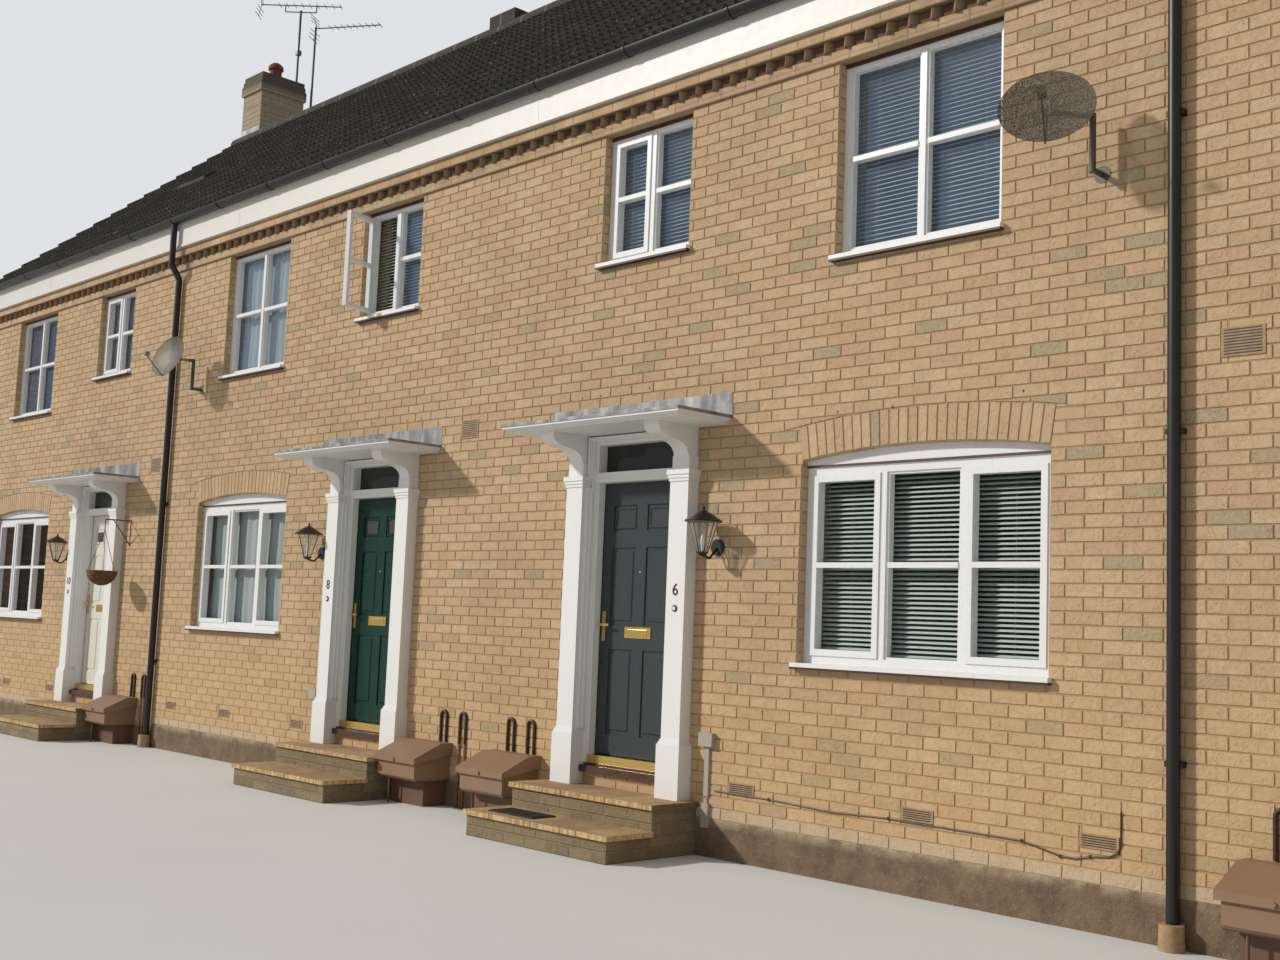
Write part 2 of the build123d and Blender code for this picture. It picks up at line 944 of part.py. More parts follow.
def glass_sheets(name, ground):
    """One sheet behind each frame. Behind the open casement it covers the closed light alone."""
    back = frame_y() - frame_depth
    sheets = []
    for side in (-1, 1):
        y0, y1 = side * back, side * (back - glass_thickness)
        for x, width, sill, top in window_places(side):
            if (sill < first_floor_top) != ground:
                continue
            left = x if side == -1 and x == narrow_x(open_house) and not ground else x - width / 2 + glass_lap
            sheets.append((left, x + width / 2 - glass_lap, min(y0, y1), max(y0, y1), sill + glass_lap,
                           top - glass_lap))
    with BuildPart() as panes:
        blocks(sheets)
    save(panes.part, name)


def blind(x, width, sill, top):
    """Head rail between the reveals, a sheet as thick as the stack of slats looks, and a bottom rail."""
    outer = -(frame_y() - frame_depth - glass_thickness - blind_gap)
    middle = outer + slat_width / 2
    half = width / 2
    return [
        (x - half, x + half, outer, outer + slat_width, top - rail_height, top),
        (x - half + blind_gap, x + half - blind_gap, middle, middle + slat_sheet, sill + blind_gap,
         top - rail_height),
        (x - half + blind_gap, x + half - blind_gap, outer, outer + slat_width, sill + blind_gap,
         sill + blind_gap + rail_height / 2),
    ]


def curtain(x, width, sill, top):
    """Hanging cloth in even folds under a rail between the reveals."""
    y = -(frame_y() - frame_depth - glass_thickness - curtain_gap)
    half = width / 2
    steps = 4 * curtain_folds
    across = [-1 + 2 * step / steps for step in range(steps + 1)]
    front = [(x + share * (half - blind_gap), y + curtain_fold * math.sin(math.pi * step / 2))
             for step, share in enumerate(across)]
    back = [(point[0], point[1] + curtain_thickness) for point in reversed(front)]
    with BuildSketch(Plane.XY.offset(sill + blind_gap)) as folds:
        with BuildLine():
            Spline(*front)
            Line(front[-1], back[0])
            Spline(*back)
            Line(back[-1], front[0])
        make_face()
    extrude(folds.sketch, amount=top - sill - blind_gap - rail_height)
    back_y = y + curtain_fold + curtain_thickness
    blocks([(x - half, x + half, y - curtain_fold, back_y, top - rail_height, top)])


def window_dressings():
    """Slatted blinds in the third house and behind the open casement, and light curtains in the second."""
    blinds_house, curtains_house = 2, open_house
    extents = []
    for index, (kind_x, width, sill, top) in (
        (blinds_house, (wide_ground_x, wide_ground_width, wide_ground_sill, frame_top_ground)),
        (blinds_house, (wide_upper_x, wide_upper_width, wide_upper_sill, window_top)),
        (blinds_house, (narrow_x, narrow_width, narrow_sill, window_top)),
    ):
        extents += blind(kind_x(index), width, sill, top)
    x = narrow_x(open_house)
    with BuildPart() as dressings:
        blocks(extents)
        blocks(blind(x, narrow_width, narrow_sill, window_top))
        curtain(wide_ground_x(curtains_house), wide_ground_width, wide_ground_sill, frame_top_ground)
        curtain(wide_upper_x(curtains_house), wide_upper_width, wide_upper_sill, window_top)
    save(dressings.part, "window_dressings")


# Front doors

def leaf_left(index):
    return door_x(index) - doorway_width / 2 + jamb_width + lock_gap


def hinge_axis(index):
    """Line that a leaf turns about, at the inner corner of its right-hand edge."""
    x = leaf_left(index) + leaf_width + hinge_gap / 2
    y = front_face + leaf_setback + leaf_thickness + hinge_knuckle_radius
    return x, y


def hinge_half(index, level, reach):
    """One knuckle with its plate, on the leaf for a negative reach and on the frame for a positive one."""
    x, y = hinge_axis(index)
    face = y - hinge_knuckle_radius
    with Locations((x, y, level)):
        Cylinder(hinge_knuckle_radius, hinge_knuckle_height - running_gap / 2,
                 align=(Align.CENTER, Align.CENTER, Align.MIN))
    block(min(x, x + reach), max(x, x + reach), face, face + hinge_plate, level,
          level + hinge_knuckle_height - running_gap / 2)


def door_hinges():
    """Lower knuckles, fixed to the frames. The leaves stand on them with the running gap between."""
    with BuildPart() as hinges:
        for index in house_range:
            for level in hinge_levels:
                hinge_half(index, leaf_bottom + level, hinge_plate_width)
    save(hinges.part, "door_hinges")


def panel_columns(index):
    """Left edges of the two columns of panels in a leaf, and their width."""
    x0 = leaf_left(index)
    width = (leaf_width - 3 * panel_margin) / 2
    return (x0 + panel_margin, x0 + 2 * panel_margin + width), width


def panel_fields(index, face, outward):
    """Raised and bevelled fields in the sunk panels of one side of a leaf."""
    columns, width = panel_columns(index)
    with BuildSketch(Plane((0, face - outward * panel_recess, 0), x_dir=(outward * -1, 0, 0),
                           z_dir=(0, outward, 0))) as fields:
        for start, height in panel_rows:
            for left in columns:
                middle = left + width / 2
                with Locations((-outward * middle, leaf_bottom + start + height / 2)):
                    Rectangle(width - 2 * field_margin, height - 2 * field_margin)
    extrude(fields.sketch, amount=field_rise, taper=field_taper)


def door_leaf(index):
    """Leaf with two rows of sunk panels holding bevelled fields, under two small lights."""
    x0 = leaf_left(index)
    y0 = front_face + leaf_setback
    y1 = y0 + leaf_thickness
    columns, width = panel_columns(index)
    sunk = []
    for start, height in (*panel_rows, glazed_row):
        for left in columns:
            low = leaf_bottom + start
            sunk.append((left, left + width, y0, y0 + panel_recess, low, low + height))
            sunk.append((left, left + width, y1 - panel_recess, y1, low, low + height))
    with BuildPart() as leaf:
        block(x0, x0 + leaf_width, y0, y1, leaf_bottom, leaf_top)
        blocks(sunk, Mode.SUBTRACT)
        panel_fields(index, y0, -1)
        panel_fields(index, y1, 1)
    save(leaf.part, f"door_leaf_{houses[index][0]}")


def lever_blocks(x, z, face, outward):
    """Backplate, neck and lever on one side of a leaf."""
    plate = face + outward * plate_thickness
    reach = face + outward * handle_reach
    end = reach + outward * handle_bar / 2
    half = handle_bar / 2
    spans = (
        (x - plate_width / 2, x + plate_width / 2, face, plate, z - plate_height / 2, z + plate_height / 2),
        (x - half, x + half, plate, reach, z, z + handle_bar),
        (x - half, x - half + handle_length, reach, end, z, z + handle_bar),
    )
    return [(x0, x1, min(y0, y1), max(y0, y1), z0, z1) for x0, x1, y0, y1, z0, z1 in spans]


def door_furniture(index):
    """Levers, letter plate and the leaf's own hinge knuckles."""
    x0 = leaf_left(index)
    y0 = front_face + leaf_setback
    handle_z = leaf_bottom + handle_level
    middle = x0 + leaf_width / 2
    slot = leaf_bottom + slot_level - slot_height / 2
    with BuildPart() as furniture:
        blocks(lever_blocks(x0 + handle_inset, handle_z, y0, -1))
        blocks(lever_blocks(x0 + handle_inset, handle_z, y0 + leaf_thickness, 1))
        blocks([(middle - slot_width / 2, middle + slot_width / 2, y0 - plate_thickness, y0, slot,
                 slot + slot_height)])
        for level in hinge_levels:
            upper = leaf_bottom + level + hinge_knuckle_height + running_gap / 2
            hinge_half(index, upper, -hinge_plate_width)
    save(furniture.part, f"door_furniture_{houses[index][0]}")


def door_frames():
    """Jambs, transom and head with a stop for the leaf, and an architrave stepped out to the pilasters."""
    outer, inner = front_face, front_face + leaf_setback + leaf_thickness
    stop = front_face + leaf_setback - threshold_gap
    bottom = doorway_bottom + door_sill_height
    light_bottom = leaf_top + hinge_gap + transom_height
    base_top = upper_step_top + base_height
    cap_reach = cap_steps[-1][0]
    whole, openings, extra = [], [], []
    for index in house_range:
        x0, x1 = door_gap(index)
        jamb0, jamb1 = x0 + jamb_width, x1 - jamb_width
        whole.append((x0, x1, outer, inner, bottom, doorway_head))
        openings.append((jamb0, jamb1, outer, inner, bottom, leaf_top + hinge_gap))
        openings.append((jamb0 + stop_width, jamb1 - stop_width, outer, inner, light_bottom,
                         doorway_head - head_height))
        low = leaf_bottom - threshold_gap
        extra.append((jamb0, jamb0 + stop_width, outer + stop_width, stop, low, leaf_top + hinge_gap))
        extra.append((jamb1 - stop_width, jamb1, outer + stop_width, stop, low, leaf_top + hinge_gap))
        for width, reach in architrave_steps:
            for low, high, clear in ((base_top, cap_bottom, 0), (cap_bottom, pilaster_top, cap_reach),
                                     (pilaster_top, doorway_head, 0)):
                if width > clear:
                    extra.append((x0 + clear, x0 + width, outer - reach, outer, low, high))
                    extra.append((x1 - width, x1 - clear, outer - reach, outer, low, high))
            extra.append((x0, x1, outer - reach, outer, doorway_head - width, doorway_head))
    with BuildPart() as frames:
        blocks(whole)
        blocks(openings, Mode.SUBTRACT)
        blocks(extra)
    save(frames.part, "door_frames")


def toplights():
    y = front_face + leaf_setback
    low = leaf_top + hinge_gap + transom_height
    inset = jamb_width + stop_width
    with BuildPart() as panes:
        blocks([
            (door_gap(index)[0] + inset, door_gap(index)[1] - inset, y, y + glass_thickness, low,
             doorway_head - head_height)
            for index in house_range
        ])
    save(panes.part, "toplights")


def door_sills():
    """Timber sill under the leaf, projecting past the brickwork."""
    inner = front_face + leaf_setback + leaf_thickness
    nose = (doorway_width - base_width + pilaster_width) / 2
    with BuildPart() as sills:
        blocks([
            (*door_gap(index), front_face, inner, doorway_bottom, doorway_bottom + door_sill_height)
            for index in house_range
        ])
        blocks([
            (door_x(index) - nose, door_x(index) + nose, front_face - door_sill_reach, front_face,
             doorway_bottom, doorway_bottom + door_sill_reach)
            for index in house_range
        ])
    save(sills.part, "door_sills")


def brass_thresholds():
    half = doorway_width / 2 - jamb_width
    with BuildPart() as strips:
        blocks([
            (door_x(index) - half, door_x(index) + half, front_face + stop_width,
             front_face + leaf_setback + leaf_thickness, doorway_bottom + door_sill_height,
             leaf_bottom - threshold_gap)
            for index in house_range
        ])
    save(strips.part, "brass_thresholds")


def pilaster_places():
    for index in house_range:
        for hand in (-1, 1):
            yield door_x(index) + hand * (doorway_width + pilaster_width) / 2


def post_layer(x, overhang, low, high):
    """One layer of a pilaster that stands out from its shaft by the overhang on three sides."""
    half = pilaster_width / 2 + overhang
    return x - half, x + half, front_face - pilaster_depth - overhang, front_face, low, high


def pilasters():
    """Square shafts on stepped plinth blocks, with a moulded cap and a neck that carries the console."""
    layers = []
    base_overhang = (base_width - pilaster_width) / 2
    for x in pilaster_places():
        level = upper_step_top + base_height - sum(height for reach, height in base_steps)
        layers.append(post_layer(x, base_overhang, upper_step_top, level))
        for reach, height in base_steps:
            layers.append(post_layer(x, reach, level, level + height))
            level += height
        layers.append(post_layer(x, 0, level, cap_bottom))
        level = cap_bottom
        for reach, height in cap_steps:
            layers.append(post_layer(x, reach, level, level + height))
            level += height
        layers.append(post_layer(x, -neck_inset, pilaster_top, pilaster_top + neck_height))
    with BuildPart() as posts:
        blocks(layers)
    save(posts.part, "pilasters")


def console_outline(low):
    """Side outline of a bracket: fillet, convex nose under the canopy, and a hollow back to the neck."""
    nose = front_face - console_top_reach
    foot = front_face - pilaster_depth + neck_inset
    height = canopy_underside - low
    fillet_low = canopy_underside - console_fillet
    turn = (front_face - 0.68 * console_top_reach, low + 0.52 * height)
    with BuildLine() as outline:
        Line((front_face, low), (front_face, canopy_underside))
        Line((front_face, canopy_underside), (nose, canopy_underside))
        Line((nose, canopy_underside), (nose, fillet_low))
        Spline(
            (nose, fillet_low), turn, (foot, low),
            tangents=((0.15, -1), (0.1, -1)),
        )
        Line((foot, low), (front_face, low))
    return outline.line


def consoles():
    """Scrolled brackets with an S-shaped front, a grooved face and a round eye on each cheek."""
    low = pilaster_top + neck_height
    eye_y = front_face - 0.72 * console_top_reach
    eye_z = canopy_underside - console_fillet - 1.5 * console_eye
    with BuildPart() as brackets:
        for x in pilaster_places():
            with BuildSketch(Plane.YZ.offset(x - console_width / 2)) as side:
                make_face(console_outline(low))
            extrude(side.sketch, amount=console_width)
            with BuildSketch(Plane.YZ.offset(x - console_width / 2 - console_eye_rise)) as eye:
                with Locations((eye_y, eye_z)):
                    Circle(console_eye)
            extrude(eye.sketch, amount=console_width + 2 * console_eye_rise)
    save(brackets.part, "consoles")


def canopies():
    """Flat hoods with an edge moulded in steps."""
    layers = []
    for index in house_range:
        x = door_x(index)
        level = canopy_underside
        for inset, height in canopy_steps:
            half = canopy_width / 2 - inset
            front = front_face - canopy_depth + inset
            layers.append((x - half, x + half, front, front_face, level, level + height))
            level += height
    with BuildPart() as hoods:
        blocks(layers)
    save(hoods.part, "canopies")


def canopy_lead(index):
    """Sheet over a canopy with turned-down edges, and its upstand on the wall."""
    x = door_x(index)
    low = canopy_underside + canopy_thickness
    half = canopy_width / 2 + lead_overhang
    front = front_face - canopy_depth - lead_overhang
    top = low + flashing_thickness
    return [
        (x - half, x + half, front, front_face, low, top),
        (x - half, x + half, front, front + flashing_thickness, low - lead_drip, top),
        (x - half, x - half + flashing_thickness, front, front_face, low - lead_drip, top),
        (x + half - flashing_thickness, x + half, front, front_face, low - lead_drip, top),
        (x - half, x + half, front_face - flashing_thickness, front_face, low, low + flashing_height),
    ]


def cheek_lead(x):
    """Lead beside the chimney, from the tiles up to the height of its apron."""
    with BuildSketch(Plane.YZ.offset(x)) as cheek:
        Polygon(
            (-apron_thickness, tile_line(apron_thickness)), (-apron_thickness, ridge_height + apron_height),
            (0, ridge_height + apron_height), (chimney_depth, tile_line(chimney_depth) + apron_height),
            (chimney_depth, tile_line(chimney_depth)), (0, ridge_height),
            align=None,
        )
    extrude(cheek.sketch, amount=apron_thickness)


def lead_flashings():
    """Sheet lead over each canopy and round the foot of the chimney."""
    extents = []
    for index in house_range:
        extents += canopy_lead(index)
    with BuildPart() as leads:
        blocks(extents)
        cheek_lead(chimney_left - apron_thickness)
        cheek_lead(chimney_right)
        block(chimney_left, chimney_right, -apron_thickness, 0, ridge_height, ridge_height + apron_height)
    save(leads.part, "lead_flashings")


# Steps

def step_brickwork():
    """Brick risers of both steps, one mass of masonry at each door."""
    half = step_width / 2
    risers = []
    for index in house_range:
        x0, x1 = door_x(index) - half, door_x(index) + half
        risers.append((x0, x1, front_face - lower_step_reach, front_face, 0, lower_step_top - slab_thickness))
        risers.append((x0, x1, front_face - upper_step_reach, front_face, lower_step_top - slab_thickness,
                       upper_step_top - slab_thickness))
    with BuildPart() as masonry:
        blocks(risers)
    save(masonry.part, "step_brickwork")


def step_slabs():
    half = step_width / 2 + slab_nosing
    levels = (
        (upper_step_reach + slab_nosing, 0, upper_step_top),
        (lower_step_reach + slab_nosing, upper_step_reach, lower_step_top),
    )
    with BuildPart() as slabs:
        blocks([
            (door_x(index) - half, door_x(index) + half, front_face - outer, front_face - inner,
             top - slab_thickness, top)
            for index in house_range
            for outer, inner, top in levels
        ])
    save(slabs.part, "step_slabs")


# Fittings on the walls and the roof

def lantern():
    """Wall lantern seen from its own wall plate: a tapered cage under a domed roof, held by a curved arm."""
    y = -lantern_axis_reach
    base_top = lantern_bottom + lantern_base_radius / 2
    with BuildPart() as body:
        with BuildSketch(Plane.XZ.offset(-y)):
            Polygon(
                (0, lantern_bottom), (lantern_base_radius / 2, lantern_bottom),
                (lantern_base_radius, base_top), (lantern_base_radius, base_top + lantern_bar_radius),
                (0, base_top + lantern_bar_radius),
                align=None,
            )
            Polygon(
                (0, lantern_eave), (lantern_eave_radius, lantern_eave - lantern_bar_radius),
                (lantern_eave_radius, lantern_eave + lantern_bar_radius),
                (lantern_eave_radius * 0.45, lantern_eave + 0.5 * (lantern_top - lantern_eave)),
                (lantern_bar_radius * 2, lantern_eave + 0.75 * (lantern_top - lantern_eave)),
                (lantern_bar_radius * 2.5, lantern_top - lantern_bar_radius), (0, lantern_top),
                align=None,
            )
        revolve(axis=Axis((0, y, 0), (0, 0, 1)))
        bars = []
        for bar in range(lantern_bars):
            angle = 2 * math.pi * (bar + 0.5) / lantern_bars
            low, high = lantern_base_radius * 0.85, lantern_eave_radius * 0.8
            bars.append(rod(
                (low * math.cos(angle), y + low * math.sin(angle), base_top),
                (high * math.cos(angle), y + high * math.sin(angle), lantern_eave),
                lantern_bar_radius,
            ))
        drop = lantern_bottom - lantern_plate_level
        knee = (0, y * 0.55, lantern_plate_level + 1.2 * drop)
        bars.append(rod((0, -3 * lantern_bar_radius, lantern_plate_level), knee, 2 * lantern_bar_radius))
        bars.append(rod(knee, (0, y, lantern_bottom + lantern_bar_radius), 2 * lantern_bar_radius))
        bars.append(rod((0, 0, lantern_plate_level), (0, -lantern_base_radius / 2, lantern_plate_level),
                        lantern_plate_radius))
        add(bars)
    return body.part


def lanterns():
    """One lantern beside each door, on the side away from the party wall."""
    pattern = lantern()
    with BuildPart() as group:
        for index in house_range:
            hand = 1 if door_side(index) == "left" else -1
            with Locations((door_x(index) + hand * lantern_offset, front_face, 0)):
                add(pattern)
    save(group.part, "lanterns")


def meter_box(x):
    """Proud meter housing: a body on a base under a sloping lid with a lip and a knob, and a thin leg."""
    half = meter_width / 2
    inset = meter_inset
    back = front_face
    front = front_face - meter_depth
    with BuildSketch(Plane.YZ.offset(x - half)) as lid:
        Polygon(
            (back, meter_top), (back - meter_lid_flat, meter_top), (front, meter_front),
            (front, meter_front - meter_lid), (back, meter_top - 2 * meter_lid),
            align=None,
        )
    extrude(lid.sketch, amount=meter_width)
    rise = meter_top - meter_lid - meter_front
    shoulder = meter_front - meter_lid + rise * inset / meter_depth
    with BuildSketch(Plane.YZ.offset(x - half + inset)) as body:
        Polygon(
            (back, meter_bottom), (front + 2 * inset, meter_bottom), (front + inset, meter_bottom + inset),
            (front + inset, shoulder), (back, meter_top - 2 * meter_lid),
            align=None,
        )
    extrude(body.sketch, amount=meter_width - 2 * inset)
    base_wide, base_deep = meter_base
    blocks([(x - base_wide / 2, x + base_wide / 2, back - base_deep, back, 0, meter_bottom)])
    leg_radius, leg_side, leg_back = meter_leg
    leg_x, leg_y = x - half + leg_side, front + leg_back
    add(rod((leg_x, leg_y, 0), (leg_x, leg_y, meter_bottom + inset), leg_radius))
    knob_radius, knob_reach = meter_knob
    level = meter_front - meter_lid / 2
    add(rod((x, front + knob_reach, level), (x, front - knob_reach, level), knob_radius))


def hairpin(x):
    """Service pipe bent to a narrow hairpin that stands against the wall."""
    y = front_face - hairpin_radius
    half = hairpin_width / 2
    with BuildLine() as run:
        FilletPolyline(
            (x - half, y, 0), (x - half, y, hairpin_top), (x + half, y, hairpin_top), (x + half, y, 0),
            radius=half - 1,
        )
    with BuildSketch(Plane((x - half, y, 0), z_dir=(0, 0, 1))) as section:
        Circle(hairpin_radius)
    sweep(section.sketch, path=run.line)


def cable_extents(index):
    """Junction box, cable and duct beside a door."""
    hand = 1 if door_side(index) == "left" else -1
    x = door_x(index) + hand * cable_offset
    extents = []
    for width, low, high, depth in (cable_box, cable_lead, cable_duct):
        extents.append((x - width / 2, x + width / 2, front_face - depth, front_face, low, high))
    return extents


def meter_boxes():
    """Meter housings, pipes and junction boxes along the wall foot."""
    with BuildPart() as services:
        for index, (place, *hairpins) in enumerate(meter_places):
            meter_box(beside_door(index, place))
            for distance in hairpins:
                hairpin(beside_door(index, distance))
        for index in house_range:
            blocks(cable_extents(index))
    save(services.part, "meter_boxes")


def air_brick_extents():
    """Vents let into the front wall: three low ones a house and a high one by each outer party wall."""
    for index in house_range:
        for offset in (*low_air_bricks, house_width - last_air_brick):
            yield beside_door(index, offset), low_air_level, air_brick_height
        if index != 2:
            yield beside_door(index, high_air_offset), high_air_level, high_air_height


def air_bricks():
    with BuildPart() as vents:
        blocks([
            (x - brick_pitch / 2, x + brick_pitch / 2, front_face - air_brick_proud, front_face,
             middle - height / 2, middle + height / 2)
            for x, middle, height in air_brick_extents()
        ])
    save(vents.part, "air_bricks")


def dish(x, z, turn):
    """Shallow reflector turned and tilted to the sky, its feed arm, and the bracket back to the wall."""
    tilt = math.radians(dish_tilt)
    heading = math.radians(turn)
    normal = Vector(math.cos(tilt) * math.sin(heading), -math.cos(tilt) * math.cos(heading), math.sin(tilt))
    across = Vector(math.cos(heading), math.sin(heading), 0)
    centre = Vector(x, front_face - dish_reach, z)
    plane = Plane(origin=centre, x_dir=across, z_dir=normal)
    down = plane.y_dir * -1
    rim = centre + down * (dish_radius / dish_stretch) + normal * dish_sag
    feed = centre + down * (dish_radius * 0.35) + normal * feed_reach
    hub = centre - normal * dish_arm_radius
    foot = Vector(x + dish_reach * math.sin(heading), front_face, z - dish_foot_drop)
    bend = foot + Vector(0, -dish_reach / 3, 0)
    elbow = Vector(foot.X, front_face - dish_reach / 3, z)
    lift = Vector(0, 0, dish_arm_radius)
    reflector = plane * bowl()
    edge = rim - normal * dish_sag * 0.4
    stay = 1.5 * dish_thickness
    pieces = [
        reflector,
        rod(centre + normal * dish_thickness / 2, hub, 2 * dish_arm_radius),
        rod(hub, elbow, dish_arm_radius),
        rod(elbow + lift, bend - lift, 1.15 * dish_arm_radius),
        rod(bend, foot, dish_arm_radius),
        rod(foot + Vector(0, -2 * dish_thickness, 0), foot, 3 * dish_arm_radius),
        rod(hub, edge, stay),
        rod(edge, feed, stay),
        rod(feed, feed - normal * 2 * feed_radius, feed_radius),
    ]
    return pieces[0].fuse(*pieces[1:])


def bowl():
    """Reflector shell about its own axis, stretched sideways."""
    rise = (dish_radius ** 2 + dish_sag ** 2) / (2 * dish_sag)
    half = dish_radius / 2
    middle = rise - math.sqrt(rise ** 2 - half ** 2)
    with BuildPart() as shell:
        with BuildSketch(Plane.XZ):
            with BuildLine():
                ThreePointArc((0, 0), (half, middle), (dish_radius, dish_sag))
                Line((dish_radius, dish_sag), (dish_radius, dish_sag + dish_thickness))
                ThreePointArc((dish_radius, dish_sag + dish_thickness), (half, middle + dish_thickness),
                              (0, dish_thickness))
                Line((0, dish_thickness), (0, 0))
            make_face()
        revolve(axis=Axis.Z)
    return scale(shell.part, by=(dish_stretch, 1 / dish_stretch, 1)).solid()


def satellite_dishes():
    reflectors = [
        dish(beside_door(index, house_width - inset), z, turn) for index, inset, z, turn in dish_places
    ]
    with BuildPart() as dishes:
        add(reflectors)
    save(dishes.part, "satellite_dishes")


def aerial(mast, boom_start, boom_end):
    """Mast, boom with its directors, and a reflector of sloping bars at the rear end."""
    offset, low, high = mast
    x = chimney_right + offset
    y = chimney_depth + mast_gap
    start, end = Vector(boom_start), Vector(boom_end)
    run = (end - start).normalized()
    side = Vector(-run.Y, run.X, 0)
    up = Vector(0, 0, 1)
    parts = [
        rod((x, y, ridge_height + low - 2 * mast_gap), (x, y, ridge_height + high), mast_radius),
        rod(start, end, boom_radius),
    ]
    for number in range(element_count):
        middle = start + (end - start) * ((number + 2.5) / (element_count + 1.6))
        half = side * director_length / 2
        parts.append(rod(middle - half, middle + half, element_radius))
    for lean in (-1, 1):
        tip = start + run * (-0.1 * reflector_length) + up * lean * 0.6 * reflector_length
        parts.append(rod(start + run * 2 * boom_radius, tip, element_radius))
        for share in (0.35, 0.65, 0.95):
            middle = start + run * 2 * boom_radius + (tip - start - run * 2 * boom_radius) * share
            half = side * reflector_length / 2
            parts.append(rod(middle - half, middle + half, element_radius))
    return parts


def mast_arm(mast, level):
    """Bracket from the rear of the chimney to a mast, with a side arm where the mast stands past the corner."""
    x = chimney_right + mast[0]
    reach = min(x, chimney_right - mast_gap)
    y = chimney_depth + mast_gap
    arms = [rod((reach, chimney_depth, level), (reach, y, level), arm_radius)]
    if x > reach:
        arms.append(rod((reach, y, level), (x, y, level), arm_radius))
    return arms


def cranked_tube(x, y, z, hand):
    """One half of the bent tube that holds the upper boom over its mast."""
    knee = (x + hand * crank_reach, y + hand * crank_reach, z)
    return [
        rod((x, y, z), knee, boom_radius),
        rod(knee, (knee[0], knee[1], z + mast_gap + boom_radius), boom_radius),
    ]


def television_aerials():
    """Two masts strapped to the rear of the chimney, each with a directional aerial."""
    y = chimney_depth + mast_gap
    tall_x = chimney_right + tall_mast[0]
    tall_z = ridge_height + tall_mast[2]
    short_x = chimney_right + short_mast[0]
    short_z = ridge_height + short_mast[2] - 3 * boom_radius
    upper = tall_z + mast_gap - 3 * boom_radius
    joint = tall_z - joint_drop
    half = 2 * mast_radius
    with BuildPart() as aerials:
        add(aerial(
            tall_mast,
            (tall_x - boom_half, y - boom_half, upper),
            (tall_x + boom_half, y + boom_half, upper),
        ))
        add(cranked_tube(tall_x, y, tall_z - 3 * boom_radius, -1))
        add(cranked_tube(tall_x, y, tall_z - 3 * boom_radius, 1))
        add(aerial(short_mast, (short_x, y, short_z), (short_x + 2 * boom_half, y + 1.3 * boom_half, short_z)))
        add(mast_arm(tall_mast, ridge_height + tall_mast[1] - mast_gap))
        add(mast_arm(short_mast, ridge_height + short_mast[1] - mast_gap / 2))
        blocks([(tall_x - half, tall_x + half, y - half, y + half, joint, joint + 2 * half)])
    save(aerials.part, "television_aerials")


def hanging_basket():
    """Wire bracket by the first door with a lined basket on three chains."""
    low, high = basket_plate
    basket_x = beside_door(0, basket_offset)
    y = front_face - basket_reach
    tip = (basket_x, y, high - 2 * basket_bar_radius)
    hook = (basket_x, y, basket_hook)
    side = basket_radius * math.sqrt(0.5)
    inner = basket_radius - basket_wall
    bottom = (basket_x, basket_rim - basket_depth)
    lining = (basket_x, basket_rim - basket_depth + basket_wall)
    with BuildPart() as basket:
        with BuildSketch(Plane.XZ.offset(-y)):
            with BuildLine():
                rim = (basket_x + basket_radius, basket_rim)
                ThreePointArc(bottom, (basket_x + side, basket_rim - side), rim)
                Line(rim, (basket_x + inner, basket_rim))
                ThreePointArc(
                    (basket_x + inner, basket_rim),
                    (basket_x + side - basket_wall, basket_rim - side + basket_wall),
                    lining,
                )
                Line(lining, bottom)
            make_face()
        revolve(axis=Axis((basket_x, y, 0), (0, 0, 1)))
        blocks([(basket_x - 2 * basket_bar_radius, basket_x + 2 * basket_bar_radius,
                 front_face - basket_bar_radius, front_face, low, high)])
        plate_y = front_face - basket_bar_radius / 2
        brace_y = front_face - 0.7 * basket_reach
        bars = [
            rod((basket_x, front_face, tip[2]), tip, basket_bar_radius),
            rod((basket_x, plate_y - basket_bar_radius / 2, low + 2 * basket_bar_radius),
                (basket_x, brace_y, tip[2]), 0.8 * basket_bar_radius),
            rod(tip, hook, chain_radius * 1.5),
        ]
        for chain in range(3):
            angle = 2 * math.pi * chain / 3 + math.pi / 6
            reach = basket_radius - basket_wall / 2
            bars.append(rod(
                hook,
                (basket_x + reach * math.cos(angle), y + reach * math.sin(angle), basket_rim - basket_wall),
                chain_radius,
            ))
        add(bars)
    save(basket.part, "hanging_basket")


front_walls()
over_door_walls()
threshold_walls()
rear_wall()
end_walls()
party_walls()
floor_slabs(ground_floor_top, ground_floor_thickness, "ground_floor")
floor_slabs(first_floor_top, first_floor_thickness, "first_floor")
floor_slabs(ceiling_underside + ceiling_thickness, ceiling_thickness, "upper_ceiling")
roof_slope(-1, "street_roof_slope")
roof_slope(1, "rear_roof_slope")
ridge_tiles()
fascias()
street_cornice()
rear_cornice()
gutters()
downpipes(-1, "street_downpipes")
downpipes(1, "rear_downpipes")
pipe_sockets()
chimney()
chimney_pot()
ground_window_frames()
upper_window_frames()
narrow_window_frames()
open_casement()
window_sills()
glass_sheets("ground_glass", True)
glass_sheets("upper_glass", False)
for house in house_range:
    door_leaf(house)
    door_furniture(house)
door_hinges()
door_frames()
toplights()
door_sills()
brass_thresholds()
pilasters()
consoles()
canopies()
lead_flashings()
step_brickwork()
step_slabs()
window_dressings()
lanterns()
meter_boxes()
air_bricks()
satellite_dishes()
television_aerials()
hanging_basket()
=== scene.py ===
import math
import random

import bmesh
import bpy
from mathutils import Matrix, Vector, noise


